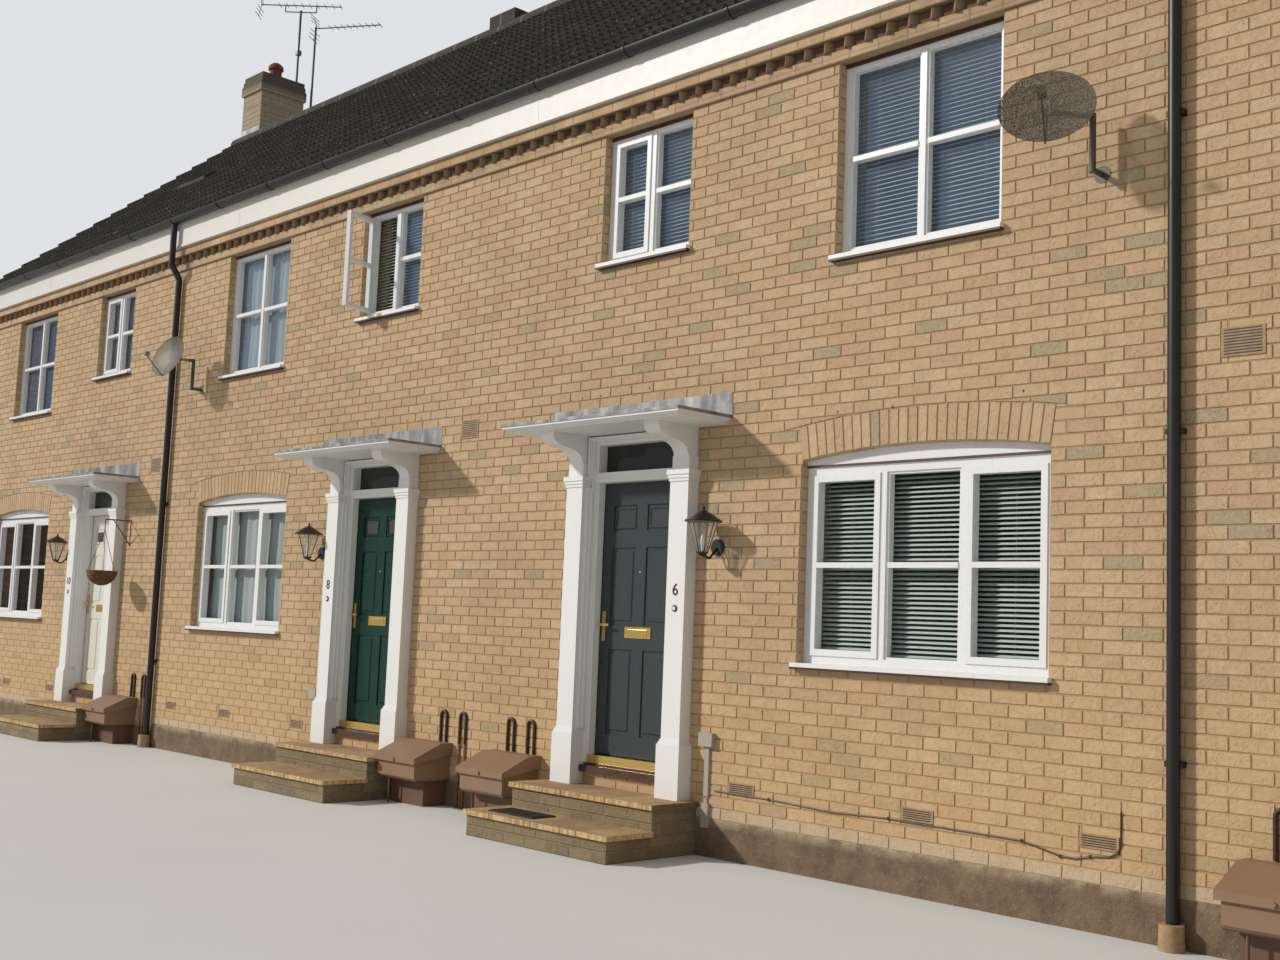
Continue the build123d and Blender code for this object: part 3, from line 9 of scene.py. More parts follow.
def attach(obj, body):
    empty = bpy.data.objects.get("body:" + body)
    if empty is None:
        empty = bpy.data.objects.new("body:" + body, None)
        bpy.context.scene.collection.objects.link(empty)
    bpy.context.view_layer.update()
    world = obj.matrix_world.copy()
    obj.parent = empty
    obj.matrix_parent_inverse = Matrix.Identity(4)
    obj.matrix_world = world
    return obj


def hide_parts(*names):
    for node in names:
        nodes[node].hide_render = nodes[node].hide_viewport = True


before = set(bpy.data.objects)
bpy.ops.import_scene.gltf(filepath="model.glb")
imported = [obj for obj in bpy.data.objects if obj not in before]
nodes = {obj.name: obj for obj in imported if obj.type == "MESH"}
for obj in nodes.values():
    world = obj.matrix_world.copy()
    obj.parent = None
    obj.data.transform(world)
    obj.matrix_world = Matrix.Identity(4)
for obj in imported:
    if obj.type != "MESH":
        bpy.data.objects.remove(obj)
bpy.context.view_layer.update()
scene = bpy.context.scene
print("frame loaded:", len(nodes), "nodes")

# Sizes that several pieces share, in metres
row = {
    "left": -11.4,
    "right": 11.4,
    "front": -3.5,
    "rear": 3.5,
    "houseWidth": 5.7,
    "doorAxis": 1.65,
    "leafStart": -0.404,
    "leafWidth": 0.811,
    "leafBottom": 0.565,
    "leafFront": -3.42,
    "leafBack": -3.376,
}

houses = [
    {"number": "10", "left": -11.4, "hand": -1, "paint": "cream"},
    {"number": "8", "left": -5.7, "hand": -1, "paint": "green"},
    {"number": "6", "left": 0.0, "hand": 1, "paint": "slate"},
    {"number": "4", "left": 5.7, "hand": 1, "paint": "navy"},
]
for house in houses:
    reach = row["doorAxis"] if house["hand"] > 0 else row["houseWidth"] - row["doorAxis"]
    house["door"] = house["left"] + reach
    house["leafMiddle"] = house["door"] + row["leafStart"] + row["leafWidth"] / 2
    house["body"] = "door_" + house["number"]


# Shader maths: a socket that Python's operators work on

class Wire:
    def __init__(self, graph, socket):
        self.graph = graph
        self.socket = socket

    def maths(self, operation, *others):
        values = {place: other for place, other in enumerate((self, *others))}
        return self.graph.node("ShaderNodeMath", {"operation": operation}, values)

    def __add__(self, other):
        return self.maths("ADD", other)

    def __sub__(self, other):
        return self.maths("SUBTRACT", other)

    def __mul__(self, other):
        return self.maths("MULTIPLY", other)

    def __truediv__(self, other):
        return self.maths("DIVIDE", other)

    def __neg__(self):
        return self.maths("MULTIPLY", -1)

    def __rsub__(self, other):
        return -self + other

    __radd__ = __add__
    __rmul__ = __mul__

    def floor(self):
        return self.maths("FLOOR")

    def fraction(self):
        return self.maths("FRACT")

    def size(self):
        return self.maths("ABSOLUTE")

    def least(self, other):
        return self.maths("MINIMUM", other)

    def above(self, other):
        return self.maths("GREATER_THAN", other)

    def below(self, other):
        return self.maths("LESS_THAN", other)

    def between(self, low, high):  # 0 at low and 1 at high, held past both
        values = {"Value": self, "From Min": low, "From Max": high}
        return self.graph.node("ShaderNodeMapRange", {"clamp": True}, values)


class Graph:
    def __init__(self, name):
        self.material = bpy.data.materials.new(name)
        self.material.use_nodes = True
        self.tree = self.material.node_tree
        self.tree.nodes.clear()
        self.out = self.tree.nodes.new("ShaderNodeOutputMaterial")

    def raw(self, kind, settings=None, values=None):
        made = self.tree.nodes.new(kind)
        for key, value in (settings or {}).items():
            if key == "stops":
                self.setStops(made.color_ramp, value)
            else:
                setattr(made, key, value)
        for key, value in (values or {}).items():
            if isinstance(value, Wire):
                self.tree.links.new(value.socket, made.inputs[key])
            else:
                made.inputs[key].default_value = value
        return made

    def setStops(self, ramp, stops):
        while len(ramp.elements) < len(stops):
            ramp.elements.new(0.5)
        for element, (place, colour) in zip(ramp.elements, stops):
            element.position = place
            element.color = (*colour, 1)

    def node(self, kind, settings=None, values=None, output=0):
        return Wire(self, self.raw(kind, settings, values).outputs[output])

    def place(self):
        return self.node("ShaderNodeTexCoord", output="Object")

    def parts(self, vector):
        split = self.raw("ShaderNodeSeparateXYZ", None, {0: vector})
        return [Wire(self, socket) for socket in split.outputs]

    def axes(self):
        return self.parts(self.place())

    def normals(self):
        return self.parts(self.node("ShaderNodeNewGeometry", output="Normal"))

    def attribute(self, name):
        return self.node("ShaderNodeAttribute", {"attribute_name": name}, output="Fac")

    def vector(self, x, y, z):
        return self.node("ShaderNodeCombineXYZ", None, {0: x, 1: y, 2: z})

    def stretched(self, x, y, z):  # object coordinates, scaled on each axis
        values = {0: self.place(), 1: (x, y, z)}
        return self.node("ShaderNodeVectorMath", {"operation": "MULTIPLY"}, values)

    def noise(self, scale, detail, vector=None, rough=0.55, warp=0.0):
        return self.node("ShaderNodeTexNoise", None, {
            "Vector": vector or self.place(), "Scale": scale, "Detail": detail, "Roughness": rough,
            "Distortion": warp,
        })

    def cells(self, scale):
        values = {"Vector": self.place(), "Scale": scale}
        return self.node("ShaderNodeTexVoronoi", None, values, "Distance")

    def chance(self, x, y, seed):  # one random number for each cell
        values = {"Vector": self.vector(x, y, seed)}
        return self.node("ShaderNodeTexWhiteNoise", {"noise_dimensions": "3D"}, values)

    def mix(self, factor, first, second):
        made = self.raw("ShaderNodeMix", {"data_type": "RGBA", "blend_type": "MIX"})
        for place, value in ((0, factor), (6, first), (7, second)):
            if isinstance(value, Wire):
                self.tree.links.new(value.socket, made.inputs[place])
            elif place == 0:
                made.inputs[place].default_value = value
            else:
                made.inputs[place].default_value = (*value, 1)
        return Wire(self, made.outputs[2])

    def ramp(self, factor, stops):
        return self.node("ShaderNodeValToRGB", {"stops": stops}, {0: factor})

    def bump(self, height, distance, strength):
        values = {"Height": height, "Distance": distance, "Strength": strength}
        return self.node("ShaderNodeBump", None, values)

    def finish(self, colour, roughness, normal=None, **fixed):
        values = {"Roughness": roughness}
        values["Base Color"] = colour if isinstance(colour, Wire) else (*colour, 1)
        if normal is not None:
            values["Normal"] = normal
        for key, value in fixed.items():
            values[key.replace("_", " ")] = value
        shader = self.raw("ShaderNodeBsdfPrincipled", None, values)
        self.tree.links.new(shader.outputs[0], self.out.inputs[0])
        return self.material


def tone(red, green, blue):  # a screen colour, 0 to 255, as the linear colour that nodes use
    linear = []
    for value in (red, green, blue):
        share = value / 255
        linear.append(share / 12.92 if share <= 0.04045 else ((share + 0.055) / 1.055) ** 2.4)
    return tuple(linear)


def darker(colour, share):
    return tuple(part * share for part in colour)


# Mesh helpers

def newObject(name, bm, materials, body="root", replaced=(), smooth=False):
    mesh = bpy.data.meshes.new(name)
    bm.to_mesh(mesh)
    bm.free()
    made = bpy.data.objects.new(name, mesh)
    scene.collection.objects.link(made)
    for material in materials if isinstance(materials, list) else [materials]:
        mesh.materials.append(material)
    if smooth:
        mesh.shade_smooth()
    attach(made, body)
    if replaced:
        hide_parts(*replaced)
    return made


def rectangle(bm, x0, x1, z0, z1, y, facing):  # an upright face that looks along y
    turn = Matrix.Rotation(math.radians(90), 4, "X")
    if facing > 0:
        turn = Matrix.Rotation(math.radians(180), 4, "Z") @ turn
    place = Matrix.Translation(((x0 + x1) / 2, y, (z0 + z1) / 2)) @ turn
    scale = Matrix.Diagonal((x1 - x0, z1 - z0, 1, 1))
    made = bmesh.ops.create_grid(bm, x_segments=1, y_segments=1, size=0.5, matrix=place @ scale)
    return made["verts"][0].link_faces[0]


def box(bm, x0, x1, y0, y1, z0, z1):
    place = Matrix.Translation(((x0 + x1) / 2, (y0 + y1) / 2, (z0 + z1) / 2))
    scale = Matrix.Diagonal((x1 - x0, y1 - y0, z1 - z0, 1))
    return bmesh.ops.create_cube(bm, size=1, matrix=place @ scale)["verts"]


def stud(bm, place, radius, tip, depth, sides):  # a round piece along y, narrower at its tip
    turned = Matrix.Translation(place) @ Matrix.Rotation(math.radians(90), 4, "X")
    return bmesh.ops.create_cone(bm, cap_ends=True, segments=sides, radius1=radius, radius2=tip,
                                 depth=depth, matrix=turned)["verts"]


def tube(bm, points, radius, sides=8):
    for start, end in zip(points, points[1:]):
        run = Vector(end) - Vector(start)
        turn = run.to_track_quat("Z", "Y").to_matrix().to_4x4()
        place = Matrix.Translation((Vector(start) + Vector(end)) / 2) @ turn
        bmesh.ops.create_cone(bm, cap_ends=True, segments=sides, radius1=radius, radius2=radius,
                              depth=run.length + radius * 0.6, matrix=place)


# Brickwork

brickwork = {
    "length": 0.225,
    "course": 0.075,
    "start": 0.025,
    "joint": 0.010,
    "relief": 0.005,
    "arris": 0.0018,
    "rows": (3, 69),
    "clearance": 0.02,
    "leastSpan": 0.012,
    "closer": 0.03,
    "leastBrick": 0.015,
    "wander": 0.0012,
    "lean": 0.0005,
    "waver": 0.0003,
    "lift": 0.0004,
    "toothRow": 70,
    "toothPitch": 0.16642,
    # tooth fronts and backs, over which the painted shade between the teeth deepens
    "toothDepth": (-3.552, -3.512),
    "nearFoot": (1.9, 0.6),
    "bleached": (0.332, 0.318),
    "buff": tone(190, 161, 125),
    "honey": tone(182, 152, 115),
    "sand": tone(198, 171, 136),
    "rose": tone(187, 151, 122),
    "olive": tone(150, 141, 113),
    "mortar": tone(176, 148, 112),
    "pale": tone(192, 172, 146),
    "golden": tone(203, 165, 112),
    # dark flecks in the pits, and the painted shade between the cornice teeth
    "speckAndToothShade": tone(88, 62, 44),
    "grime": tone(128, 104, 76),
}


def brickColour(g, pick, second, size=brickwork):
    tones = ("honey", "buff", "sand", "buff", "rose")
    colour = g.ramp(pick, [(place / 4, size[key]) for place, key in enumerate(tones)])
    colour = g.mix(second.above(0.955) * 0.8, colour, size["olive"])
    colour = g.mix(g.noise(60, 5, rough=0.7).between(0.4, 0.75) * 0.6, colour, size["sand"])
    colour = g.mix(g.noise(9, 4).between(0.4, 0.7) * 0.5, colour, size["honey"])
    return colour


def brickRelief(g):  # creases and pits of sand-faced bricks
    crease = 1 - (g.noise(11, 4, warp=1.0) - 0.5).size().between(0.0, 0.03)
    pits = g.cells(95).below(0.17) * g.noise(11, 2).above(0.56)
    height = g.noise(30, 5, rough=0.65) * 0.9 + g.noise(300, 4, rough=0.7) * 0.2 - crease * 0.2 - pits * 0.6
    return height, crease, pits


def weathered(g, colour, size=brickwork):  # warmer and paler near the ground, with faint stains
    z = g.axes()[2]
    colour = g.mix(z.between(*size["nearFoot"]) * 0.3, colour, size["golden"])
    patchy = g.noise(6, 4).between(0.3, 0.6) * 0.5 + 0.35
    colour = g.mix(z.between(*size["bleached"]) * patchy, colour, size["pale"])
    stain = g.noise(0.9, 5, g.stretched(1, 1, 0.5), 0.6)
    return g.mix(stain.between(0.5, 0.8) * 0.3, colour, size["grime"])


def brickMaterial(name, tint=None, cornice=False, capFrom=None, size=brickwork):
    g = Graph(name)
    x, y, z = g.axes()
    course = (z - size["start"]) / size["course"]
    rowNumber = course.floor()
    along = (x + y + row["rear"]) / size["length"] + (rowNumber * 0.5).fraction()
    if cornice:  # the turned bricks of the toothed course have no joints of their own
        toothed = (rowNumber - size["toothRow"]).size().below(0.5)
        along = along * (1 - toothed) + ((x - row["left"]) / size["toothPitch"]) * toothed
    cell = along.floor()
    u, v = along.fraction(), course.fraction()
    sideways = u.least(1 - u) * size["length"]
    if cornice:
        sideways = sideways + toothed
    edge = sideways.least(v.least(1 - v) * size["course"])
    wobble = (g.noise(45, 4) - 0.5) * 0.004
    face = (edge + wobble).between(0.0036, 0.0062)
    height, _, pits = brickRelief(g)
    colour = brickColour(g, g.chance(cell, rowNumber, 3.1), g.chance(cell, rowNumber, 8.7))
    colour = g.mix(pits * 0.85, colour, size["speckAndToothShade"])
    mortar = g.mix(g.noise(120, 3), size["mortar"], darker(size["mortar"], 0.75))
    colour = weathered(g, g.mix(face, mortar, colour))
    if tint:
        colour = g.mix(tint[0], colour, tint[1])
    if cornice:  # painted shade between the teeth, darkest at their backs and 0.4 strong on their fronts, then faint stains all over
        toothShade = y.between(*size["toothDepth"]) * 0.6 + 0.4
        colour = g.mix(toothed * toothShade, colour, size["speckAndToothShade"])
        colour = g.mix(g.noise(3, 4).between(0.4, 0.7) * 0.5, colour, size["grime"])
    if capFrom:  # soot and moss on the oversailing courses
        dark = g.mix(g.noise(8, 4), tone(82, 76, 62), tone(58, 54, 46))
        colour = g.mix(z.between(capFrom - 0.05, capFrom + 0.1) * 0.85, colour, dark)
    return g.finish(colour, 0.92, g.bump(face * 1.1 + height * 0.8, 0.006, 0.9))


def skinMaterials(size=brickwork):  # bricks and joints of the laid faces, which have one tint a brick
    g = Graph("laid bricks")
    pick = g.attribute("tint")
    height, crease, pits = brickRelief(g)
    colour = brickColour(g, pick, (pick * 37.7).fraction())
    colour = g.mix(crease * 0.1, colour, size["grime"])
    colour = g.mix(pits * 0.85, colour, size["speckAndToothShade"])
    bricks = g.finish(weathered(g, colour), 0.92, g.bump(height, 0.007, 1.0))
    g = Graph("pointing")
    colour = g.mix(g.noise(90, 4), size["mortar"], darker(size["mortar"], 0.7))
    joints = g.finish(weathered(g, colour), 0.95, g.bump(g.noise(160, 4) + g.noise(35, 3), 0.004, 1.0))
    return [bricks, joints]


windows = {
    "groundAxis": 1.62,
    "groundHalf": 0.8875,
    "groundLow": 1.27,
    "groundSpring": 2.6,
    "archRise": 0.065,
    "archBricks": 26,
    "ringHeight": 0.225,
    "upperAxis": 1.675,
    "upperHalf": 0.605,
    "upperLow": 3.87,
    "narrowAxis": 1.64,
    "narrowHalf": 0.455,
    "narrowLow": 4.16,
    "top": 5.2,
    "archTop": 3.0,
}

porch = [  # half width, foot and head of what the steps, the doorway and the flashing hide
    (0.6, 0.0, 0.3),
    (0.455, 0.46, 2.875),
    (0.922, 2.9, 3.09),
]

airBricks = {
    "offsets": [2.76, 4.13, 5.275],
    "level": 0.47,
    "height": 0.075,
    "highOffset": 0.34,
    "highLevel": 3.058,
    "highHeight": 0.15,
    "width": 0.225,
    "without": "6",
    "slots": (5, 9),
    "frame": 0.014,
    "rim": 0.006,
    "slotFront": 0.0083,
}


def fromDoorSide(house, distance):
    if house["hand"] > 0:
        return house["left"] + distance
    return house["left"] + row["houseWidth"] - distance


def placesOf(house):  # middles of the wide ground, wide upper and narrow windows
    wide = fromDoorSide(house, row["houseWidth"] - windows["groundAxis"])
    upper = fromDoorSide(house, row["houseWidth"] - windows["upperAxis"])
    return wide, upper, fromDoorSide(house, windows["narrowAxis"])


def airBrickPlaces(house, size=airBricks):
    places = [(fromDoorSide(house, offset), size["level"], size["height"]) for offset in size["offsets"]]
    if house["number"] != size["without"]:
        places.append((fromDoorSide(house, size["highOffset"]), size["highLevel"], size["highHeight"]))
    return places


def holesOf(house, side):
    ground, upper, narrow = placesOf(house)
    w = windows
    door = house["door"]
    holes = [
        (ground - w["groundHalf"], ground + w["groundHalf"], w["groundLow"], w["groundSpring"]),
        (upper - w["upperHalf"], upper + w["upperHalf"], w["upperLow"], w["top"]),
        (narrow - w["narrowHalf"], narrow + w["narrowHalf"], w["narrowLow"], w["top"]),
    ]
    if side > 0:
        return holes + [(door - w["narrowHalf"], door + w["narrowHalf"], w["groundLow"], w["groundSpring"])]
    holes += [(door - half, door + half, low, high) for half, low, high in porch]
    for x, level, height in airBrickPlaces(house):
        half = airBricks["width"] / 2
        holes.append((x - half, x + half, level - height / 2, level + height / 2))
    return holes


def clearSpans(low, high, z0, z1, holes, size=brickwork):  # stretches of a course that no hole takes
    middle = (z0 + z1) / 2
    spans = [(low, high)]
    for x0, x1, h0, h1 in holes:
        if h0 - size["clearance"] < middle < h1 + size["clearance"]:
            parts = [part for a, b in spans for part in ((a, min(b, x0)), (max(a, x1), b))]
            spans = [(a, b) for a, b in parts if b - a > size["leastSpan"]]
    return spans


def archCurve(extra):  # radius and middle height of an arc that far above the opening
    half, rise = windows["groundHalf"], windows["archRise"]
    radius = (half * half + rise * rise) / (2 * rise)
    return radius + extra, windows["groundSpring"] + rise - radius


def cutToArch(bm, face, middle):  # takes away what lies under the upper edge of the arch ring
    radius, centre = archCurve(windows["ringHeight"])
    xs = [vert.co.x - middle for vert in face.verts]
    spread = math.asin(windows["groundHalf"] / archCurve(0)[0])
    if max(xs) < -math.sin(spread) * radius or min(xs) > math.sin(spread) * radius:
        return
    za, zb = (centre + math.sqrt(radius ** 2 - x * x) for x in (min(xs), max(xs)))
    bmesh.ops.bisect_plane(bm, geom=[face, *face.edges, *face.verts], dist=0.0005, clear_inner=True,
                           plane_co=(min(xs) + middle, face.verts[0].co.y, za),
                           plane_no=Vector((za - zb, 0, max(xs) - min(xs))).normalized())


def layCourse(bm, side, y, spans, z0, z1, number, middles, low, high, size=brickwork):
    length = size["length"]
    phase = 0.5 if number % 2 else 0.0
    start = y + row["rear"]
    nearArch = z1 > windows["groundSpring"] and z0 < windows["archTop"]
    for a, b in spans:
        edge = a
        index = math.floor((a + start) / length + phase) + 1
        while edge < b - 0.001:
            end = min((index - phase) * length - start, b)
            if b - end < size["closer"]:
                end = b
            if end - edge > size["leastBrick"] and low <= (edge + end) / 2 < high:
                face = rectangle(bm, edge, end, z0, z1, y, side)
                for middle in middles:
                    if nearArch and face.is_valid:
                        cutToArch(bm, face, middle)
            edge = end
            index += 1


def archRing(bm, middle, y, facing):
    inner, centre = archCurve(0.0)
    spread = math.asin(windows["groundHalf"] / inner)
    count = windows["archBricks"]
    for number in range(count):
        face = rectangle(bm, -0.5, 0.5, 0, 1, y, facing)
        for vert in face.verts:
            angle = spread * (2 * (number + 0.5 + vert.co.x) / count - 1)
            reach = inner + vert.co.z * windows["ringHeight"]
            vert.co.x = middle + reach * math.sin(angle)
            vert.co.z = centre + reach * math.cos(angle)


def raiseBricks(bm, side, size=brickwork):
    tint = bm.faces.layers.float.new("tint")
    faces = list(bm.faces)
    for face in faces:
        face[tint] = random.random()
    rim = bmesh.ops.inset_individual(bm, faces=faces, thickness=(size["joint"] - size["arris"]) / 2,
                                     use_even_offset=True)
    for face in rim["faces"]:
        face.material_index = 1
    for face in faces:
        for vert in face.verts:
            vert.co.x += random.uniform(-size["wander"], size["wander"])
            vert.co.z += random.uniform(-size["wander"], size["wander"])
    bmesh.ops.inset_individual(bm, faces=faces, thickness=size["arris"], depth=size["relief"],
                               use_even_offset=True)
    for face in faces:
        lean = random.uniform(-size["lean"], size["lean"])
        for vert in face.verts:
            vert.co.y += lean + random.uniform(-size["waver"], size["waver"])
    bmesh.ops.translate(bm, verts=bm.verts, vec=(0, side * size["lift"], 0))


def brickFace(name, side, low, high, materials):
    y = row["front"] if side < 0 else row["rear"]
    holes, middles = [], []
    for house in houses:
        holes += holesOf(house, side)
        middles.append(placesOf(house)[0])
    middles = [middle for middle in middles if low < middle < high]
    bm = bmesh.new()
    for number in range(*brickwork["rows"]):
        z0 = brickwork["start"] + number * brickwork["course"]
        z1 = z0 + brickwork["course"]
        spans = clearSpans(row["left"], row["right"], z0, z1, holes)
        layCourse(bm, side, y, spans, z0, z1, number, middles, low, high)
    for middle in middles:
        archRing(bm, middle, y, side)
    raiseBricks(bm, side)
    newObject(name, bm, materials)


random.seed(11)
laid = skinMaterials()
for house in houses:
    ends = house["left"], house["left"] + row["houseWidth"]
    brickFace("front_bricks_" + house["number"], -1, *ends, laid)
    brickFace("rear_bricks_" + house["number"], 1, *ends, laid)
print("brick faces laid")


# Wall foot

footing = {
    "profile": [(0.0, 1.0), (0.08, 1.0), (0.16, 0.9), (0.215, 0.7), (0.25, 0.0)],  # level and share proud
    "proud": 0.007,
    "gap": 0.0002,
    "roughness": 0.003,
    "wave": 0.02,
    "columns": 420,
    "colour": tone(128, 106, 82),
    "stain": tone(100, 82, 64),
    "lime": tone(172, 152, 126),
}


def footingMaterial(size=footing):
    g = Graph("rough concrete")
    z = g.axes()[2]
    colour = g.mix(g.noise(7, 5, rough=0.65).between(0.35, 0.65), size["colour"], size["stain"])
    colour = g.mix(z.between(0.19, 0.25) * g.noise(9, 3).between(0.3, 0.6), colour, size["lime"])
    colour = g.mix(g.cells(60).below(0.2) * 0.4, colour, size["lime"])
    return g.finish(colour, 0.95, g.bump(g.noise(22, 5, rough=0.7) + g.noise(150, 3) * 0.3, 0.012, 1.0))


def wallFoot(name, side, material, size=footing):
    y = row["front"] if side < 0 else row["rear"]
    rows = size["profile"]
    bm = bmesh.new()
    made = bmesh.ops.create_grid(bm, x_segments=size["columns"], y_segments=len(rows) - 1, size=0.5)
    for vert in made["verts"]:
        z, share = rows[round((vert.co.y + 0.5) * (len(rows) - 1))]
        x = row["left"] + (vert.co.x + 0.5) * (row["right"] - row["left"])
        rough = noise.noise(Vector((x * 9, side * 3.0, z * 14))) * size["roughness"]
        inner = rows[0][0] < z < rows[-1][0]
        wave = noise.noise(Vector((x * 1.7, 5.0 * side, 0))) * size["wave"] if inner else 0
        vert.co = (x, y + side * (size["gap"] + (size["proud"] + rough) * share), z + wave)
    bmesh.ops.recalc_face_normals(bm, faces=bm.faces)
    bmesh.ops.reverse_faces(bm, faces=[face for face in bm.faces if face.normal.y * side < 0])
    newObject(name, bm, material, smooth=True)


footMaterial = footingMaterial()
wallFoot("front_wall_foot", -1, footMaterial)
wallFoot("rear_wall_foot", 1, footMaterial)
print("wall foot made")


# Roof tiles

tiles = {
    "columns": 76,
    "courses": 15,
    "cuts": 12,
    "rolls": 3,
    "head": 0.03,
    "tuck": 0.02,
    "lap": 0.019,
    "seat": 0.002,
    "roll": 0.022,
    "lift": 0.003,
    "slip": 0.01,
    "tilt": 0.004,
    "verge": 0.03,
    "ridgeLength": 0.45,
    "pitch": 40.1,
    "run": 3.655,
    "edge": 5.79,
    "dark": tone(48, 44, 41),
    "middle": tone(57, 52, 48),
    "light": tone(70, 64, 57),
    "moss": tone(56, 57, 42),
    "lichen": tone(170, 166, 152),
    # the dark tone of the painted shade in the laps and hollows
    "dirt": tone(27, 25, 23),
}


def slopePoint(side, along, up, size=tiles):  # metres down the slope from the ridge, and metres off it
    angle = math.radians(size["pitch"])
    ridge = size["edge"] + size["run"] * math.tan(angle)
    reach = along * math.cos(angle) + up * math.sin(angle)
    return side * reach, ridge - along * math.sin(angle) + up * math.cos(angle)


def closeVerges(bm, verts, side, size=tiles):  # the tile ends are bedded in mortar
    ends = (row["left"], row["right"])
    edges = {edge for vert in verts for edge in vert.link_edges
             if edge.is_boundary and any(all(abs(v.co.x - end) < 1e-4 for v in edge.verts) for end in ends)}
    angle = math.radians(size["pitch"])
    made = bmesh.ops.extrude_edge_only(bm, edges=list(edges))
    fresh = [part for part in made["geom"] if isinstance(part, bmesh.types.BMVert)]
    down = Vector((0, -side * math.sin(angle), -math.cos(angle))) * size["verge"]
    bmesh.ops.translate(bm, verts=fresh, vec=down)


def tileGauge(size=tiles):  # what shows of each course, down the slope
    return (size["run"] / math.cos(math.radians(size["pitch"])) - size["head"]) / size["courses"]


def tiledSlope(name, side, material, size=tiles):
    gauge = tileGauge()
    count = size["columns"]
    bm = bmesh.new()
    pick = bm.faces.layers.float.new("tint")
    for course in range(size["courses"]):
        made = bmesh.ops.create_grid(bm, x_segments=count * size["cuts"], y_segments=2, size=0.5)
        slips = [random.uniform(0, size["slip"]) for _ in range(count + 1)]
        lifts = [random.uniform(0, size["tilt"]) for _ in range(count + 1)]
        tints = [random.random() for _ in range(count + 1)]
        top = size["head"] + course * gauge
        for vert in made["verts"]:
            lane = (vert.co.x + 0.5) * count
            number = int(lane + 1e-4)
            part = lane - number
            rise = size["roll"] * max(0.0, math.cos(2 * math.pi * (part * size["rolls"] - 0.25))) ** 0.8
            if vert.co.y < -0.25:
                along, up = top - size["tuck"], rise * 0.7 - size["lap"] + size["seat"]
            elif vert.co.y < 0.25:
                along, up = top + gauge + slips[number], size["lift"] + rise + lifts[number]
            else:
                along = top + gauge + slips[number] - size["seat"]
                up = rise * 0.35 - size["lap"] + size["seat"]
            vert.co.x = row["left"] + lane / count * (row["right"] - row["left"])
            vert.co.y, vert.co.z = slopePoint(side, along, up)
        fresh = {face for vert in made["verts"] for face in vert.link_faces}
        for face in fresh:
            middle = sum(vert.co.x for vert in face.verts) / len(face.verts)
            face[pick] = tints[int((middle - row["left"]) / (row["right"] - row["left"]) * count)]
        closeVerges(bm, made["verts"], side)
    turnOutward(bm, side)
    newObject(name, bm, material)


def turnOutward(bm, side):  # verge faces look along the row, the others up and out
    bm.normal_update()
    wrong = []
    for face in bm.faces:
        flat = abs(face.normal.x) < 0.5
        middle = face.calc_center_median()
        outward = face.normal.z * 0.8 + face.normal.y * side * 0.6 if flat else face.normal.x * middle.x
        if outward < 0:
            wrong.append(face)
    bmesh.ops.reverse_faces(bm, faces=wrong)


def tileMaterial(name, laidTiles=True, size=tiles):
    g = Graph(name)
    pick = g.attribute("tint") if laidTiles else g.noise(3, 2)
    colour = g.ramp(pick, [(0.0, size["dark"]), (0.6, size["middle"]), (1.0, size["light"])])
    colour = g.mix(g.noise(2.6, 5).between(0.5, 0.72) * 0.55, colour, size["moss"])
    colour = g.mix(g.noise(45, 5, rough=0.75).between(0.5, 0.8) * 0.6, colour, tone(96, 88, 77))
    lichen = g.cells(9).below(0.1) * g.noise(30, 3).above(0.48)
    lichen = lichen + g.cells(31).below(0.16) * g.noise(5, 3).above(0.48)
    _, y, z = g.axes()
    angle = math.radians(size["pitch"])
    drop = -z + (size["edge"] + size["run"] * math.tan(angle))
    up = y.size() * math.sin(angle) - drop * math.cos(angle)
    along = y.size() * math.cos(angle) + drop * math.sin(angle)
    part = ((along - size["head"]) / tileGauge()).fraction()
    shaded = part.below(0.04) + part.above(0.99) + (1 - up.between(-0.016, 0.004))  # painted shade in the laps under each nose and in the hollows between the rolls
    # the laps and hollows are darkened with painted shade
    colour = g.mix(shaded.least(1) * 0.75, colour, size["dirt"])
    colour = g.mix(lichen.least(1) * 0.85, colour, size["lichen"])
    height = g.noise(200, 4) * 0.6 + g.noise(30, 4) * 0.6 + lichen * 0.3
    return g.finish(colour, 0.88, g.bump(height, 0.004, 0.9))


def ridgeMaterial(size=tiles):  # half-round ridge tiles with a mortar joint between each two
    g = Graph("ridge tiles")
    part = ((g.axes()[0] - row["left"]) / size["ridgeLength"]).fraction()
    joint = part.least(1 - part).below(0.025)
    colour = g.mix(g.noise(4, 4), size["middle"], size["dark"])
    colour = g.mix(g.cells(13).below(0.08) * 0.8, colour, size["lichen"])
    colour = g.mix(joint * 0.8, colour, tone(120, 112, 98))
    return g.finish(colour, 0.88, g.bump(g.noise(120, 4) * 0.5 - joint, 0.006, 0.9))


random.seed(5)
tileFinish = tileMaterial("roof tiles")
tiledSlope("street_tiles", -1, tileFinish)
tiledSlope("rear_tiles", 1, tileFinish)
print("roof tiled")


# Finishes of the CAD nodes

def paintMaterial(name, colour, roughness, dirt, grain=0.0006, shine=0.5):
    g = Graph(name)
    streak = g.noise(4, 4, g.stretched(2, 2, 0.5))
    tinted = g.mix(streak.between(0.5, 0.85) * dirt, colour, darker(colour, 0.6))
    tinted = g.mix(g.noise(30, 4).between(0.62, 0.8) * dirt * 0.6, tinted, tone(120, 108, 88))
    height = g.noise(240, 3) + g.noise(18, 2) * 0.6
    roughness = g.noise(12, 3) * 0.15 + (roughness - 0.07)
    return g.finish(tinted, roughness, g.bump(height, grain, 0.6), Specular_IOR_Level=shine)


